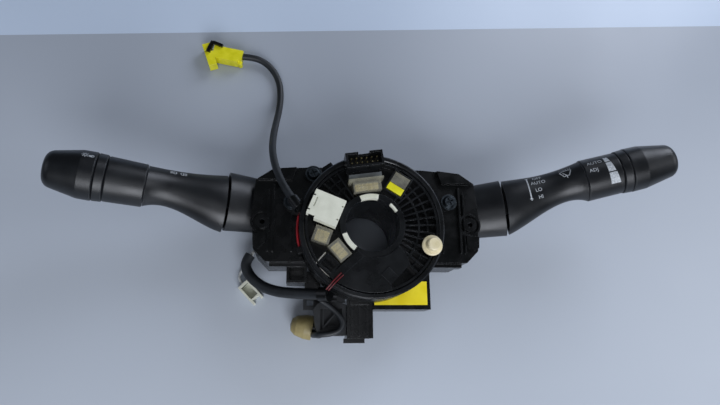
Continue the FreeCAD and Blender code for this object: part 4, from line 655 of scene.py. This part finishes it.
def lacqueredTable():
    # painted table under clear lacquer: pale blue grey, smooth enough for a soft reflection; its colour
    # carries painted shade, darker from near to far
    material = bpy.data.materials.new("lacqueredTable")
    material.use_nodes = True
    tree = material.node_tree
    tree.nodes.clear()
    first, second = (Vector(point) * mm for point in floorFacts["edge"])
    away = Vector((first.y - second.y, second.x - first.x)).normalized()
    place = addNode(tree, "ShaderNodeTexCoord").outputs["Object"]
    across = addNode(tree, "ShaderNodeVectorMath", {"operation": "DOT_PRODUCT", 1: (away.x, away.y, 0.0)},
                     {0: place}).outputs["Value"]
    fade = addNode(tree, "ShaderNodeMapRange", {"From Min": -0.12, "From Max": 0.2},
                   {"Value": across}).outputs["Result"]
    table = addNode(tree, "ShaderNodeMix", {"data_type": "RGBA", 6: linear(floorFacts["near"]),
                    7: linear(floorFacts["far"])}, {0: fade}).outputs[2]
    beyond = addNode(tree, "ShaderNodeMath", {"operation": "GREATER_THAN", 1: away.dot(first)},
                     {0: across}).outputs[0]
    colour = addNode(tree, "ShaderNodeMix", {"data_type": "RGBA", 7: linear(floorFacts["board"])},
                     {0: beyond, 6: table}).outputs[2]
    cloud = addNode(tree, "ShaderNodeTexNoise", {"Scale": 1 / (60 * mm), "Detail": 2.0},
                    {"Vector": place}).outputs["Fac"]
    gloss = addNode(tree, "ShaderNodeMapRange", {
        "From Min": 0.3, "From Max": 0.7, "To Min": floorFacts["roughness"],
        "To Max": floorFacts["roughness"] + 0.06}, {"Value": cloud}).outputs["Result"]
    shader = addNode(tree, "ShaderNodeBsdfPrincipled", {"IOR": 1.45},
                     {"Base Color": colour, "Roughness": gloss})
    addNode(tree, "ShaderNodeOutputMaterial", None, {"Surface": shader.outputs[0]})
    return material


def addFloor():
    half = floorFacts["halfSize"]
    mesh = bpy.data.meshes.new("tableTop")
    corners = [(-half, -half, 0), (half, -half, 0), (half, half, 0), (-half, half, 0)]
    mesh.from_pydata(corners, [], [(0, 1, 2, 3)])
    mesh.materials.append(lacqueredTable())
    floor = bpy.data.objects.new("tableTop", mesh)
    floor.location.z = -0.05 * mm
    scene.collection.objects.link(floor)


lamps = {
    # m, m, W: four stand low and to the sides, so that flat black tops stay black
    # the weak viewLight is near the camera, so that the table shows through the bore
    "nearLight": {"place": (0.1, -1.1, 0.75), "size": 0.9, "power": 17.0, "colour": "#f2f6ff"},
    "rightLight": {"place": (1.15, 0.05, 0.8), "size": 0.8, "power": 4.2, "colour": "#f2f6ff"},
    "leftLight": {"place": (-1.15, 0.15, 0.75), "size": 0.8, "power": 1.2, "colour": "#e6eeff"},
    "farLight": {"place": (0.8, 1.1, 0.8), "size": 0.8, "power": 11.0, "colour": "#e9f0ff"},
    "viewLight": {"place": (-0.06, -0.13, 0.6), "size": 0.2, "power": 0.17, "colour": "#f2f6ff"},
}


room = {"colour": "#dfe8f4", "strength": 0.08}


def addLamps():
    for name, facts in lamps.items():
        light = bpy.data.lights.new(name, "AREA")
        light.size = facts["size"]
        light.energy = facts["power"]
        light.color = linear(facts["colour"])[:3]
        lamp = bpy.data.objects.new(name, light)
        lamp.location = facts["place"]
        lamp.rotation_euler = (-Vector(facts["place"])).to_track_quat("-Z", "Y").to_euler()
        scene.collection.objects.link(lamp)
    world = bpy.data.worlds.new("room")
    world.use_nodes = True
    sky = world.node_tree.nodes["Background"]
    sky.inputs["Color"].default_value = linear(room["colour"])
    sky.inputs["Strength"].default_value = room["strength"]
    scene.world = world


addFloor()
addLamps()
scene.view_settings.view_transform = "Standard"
print("floor and lamps placed")
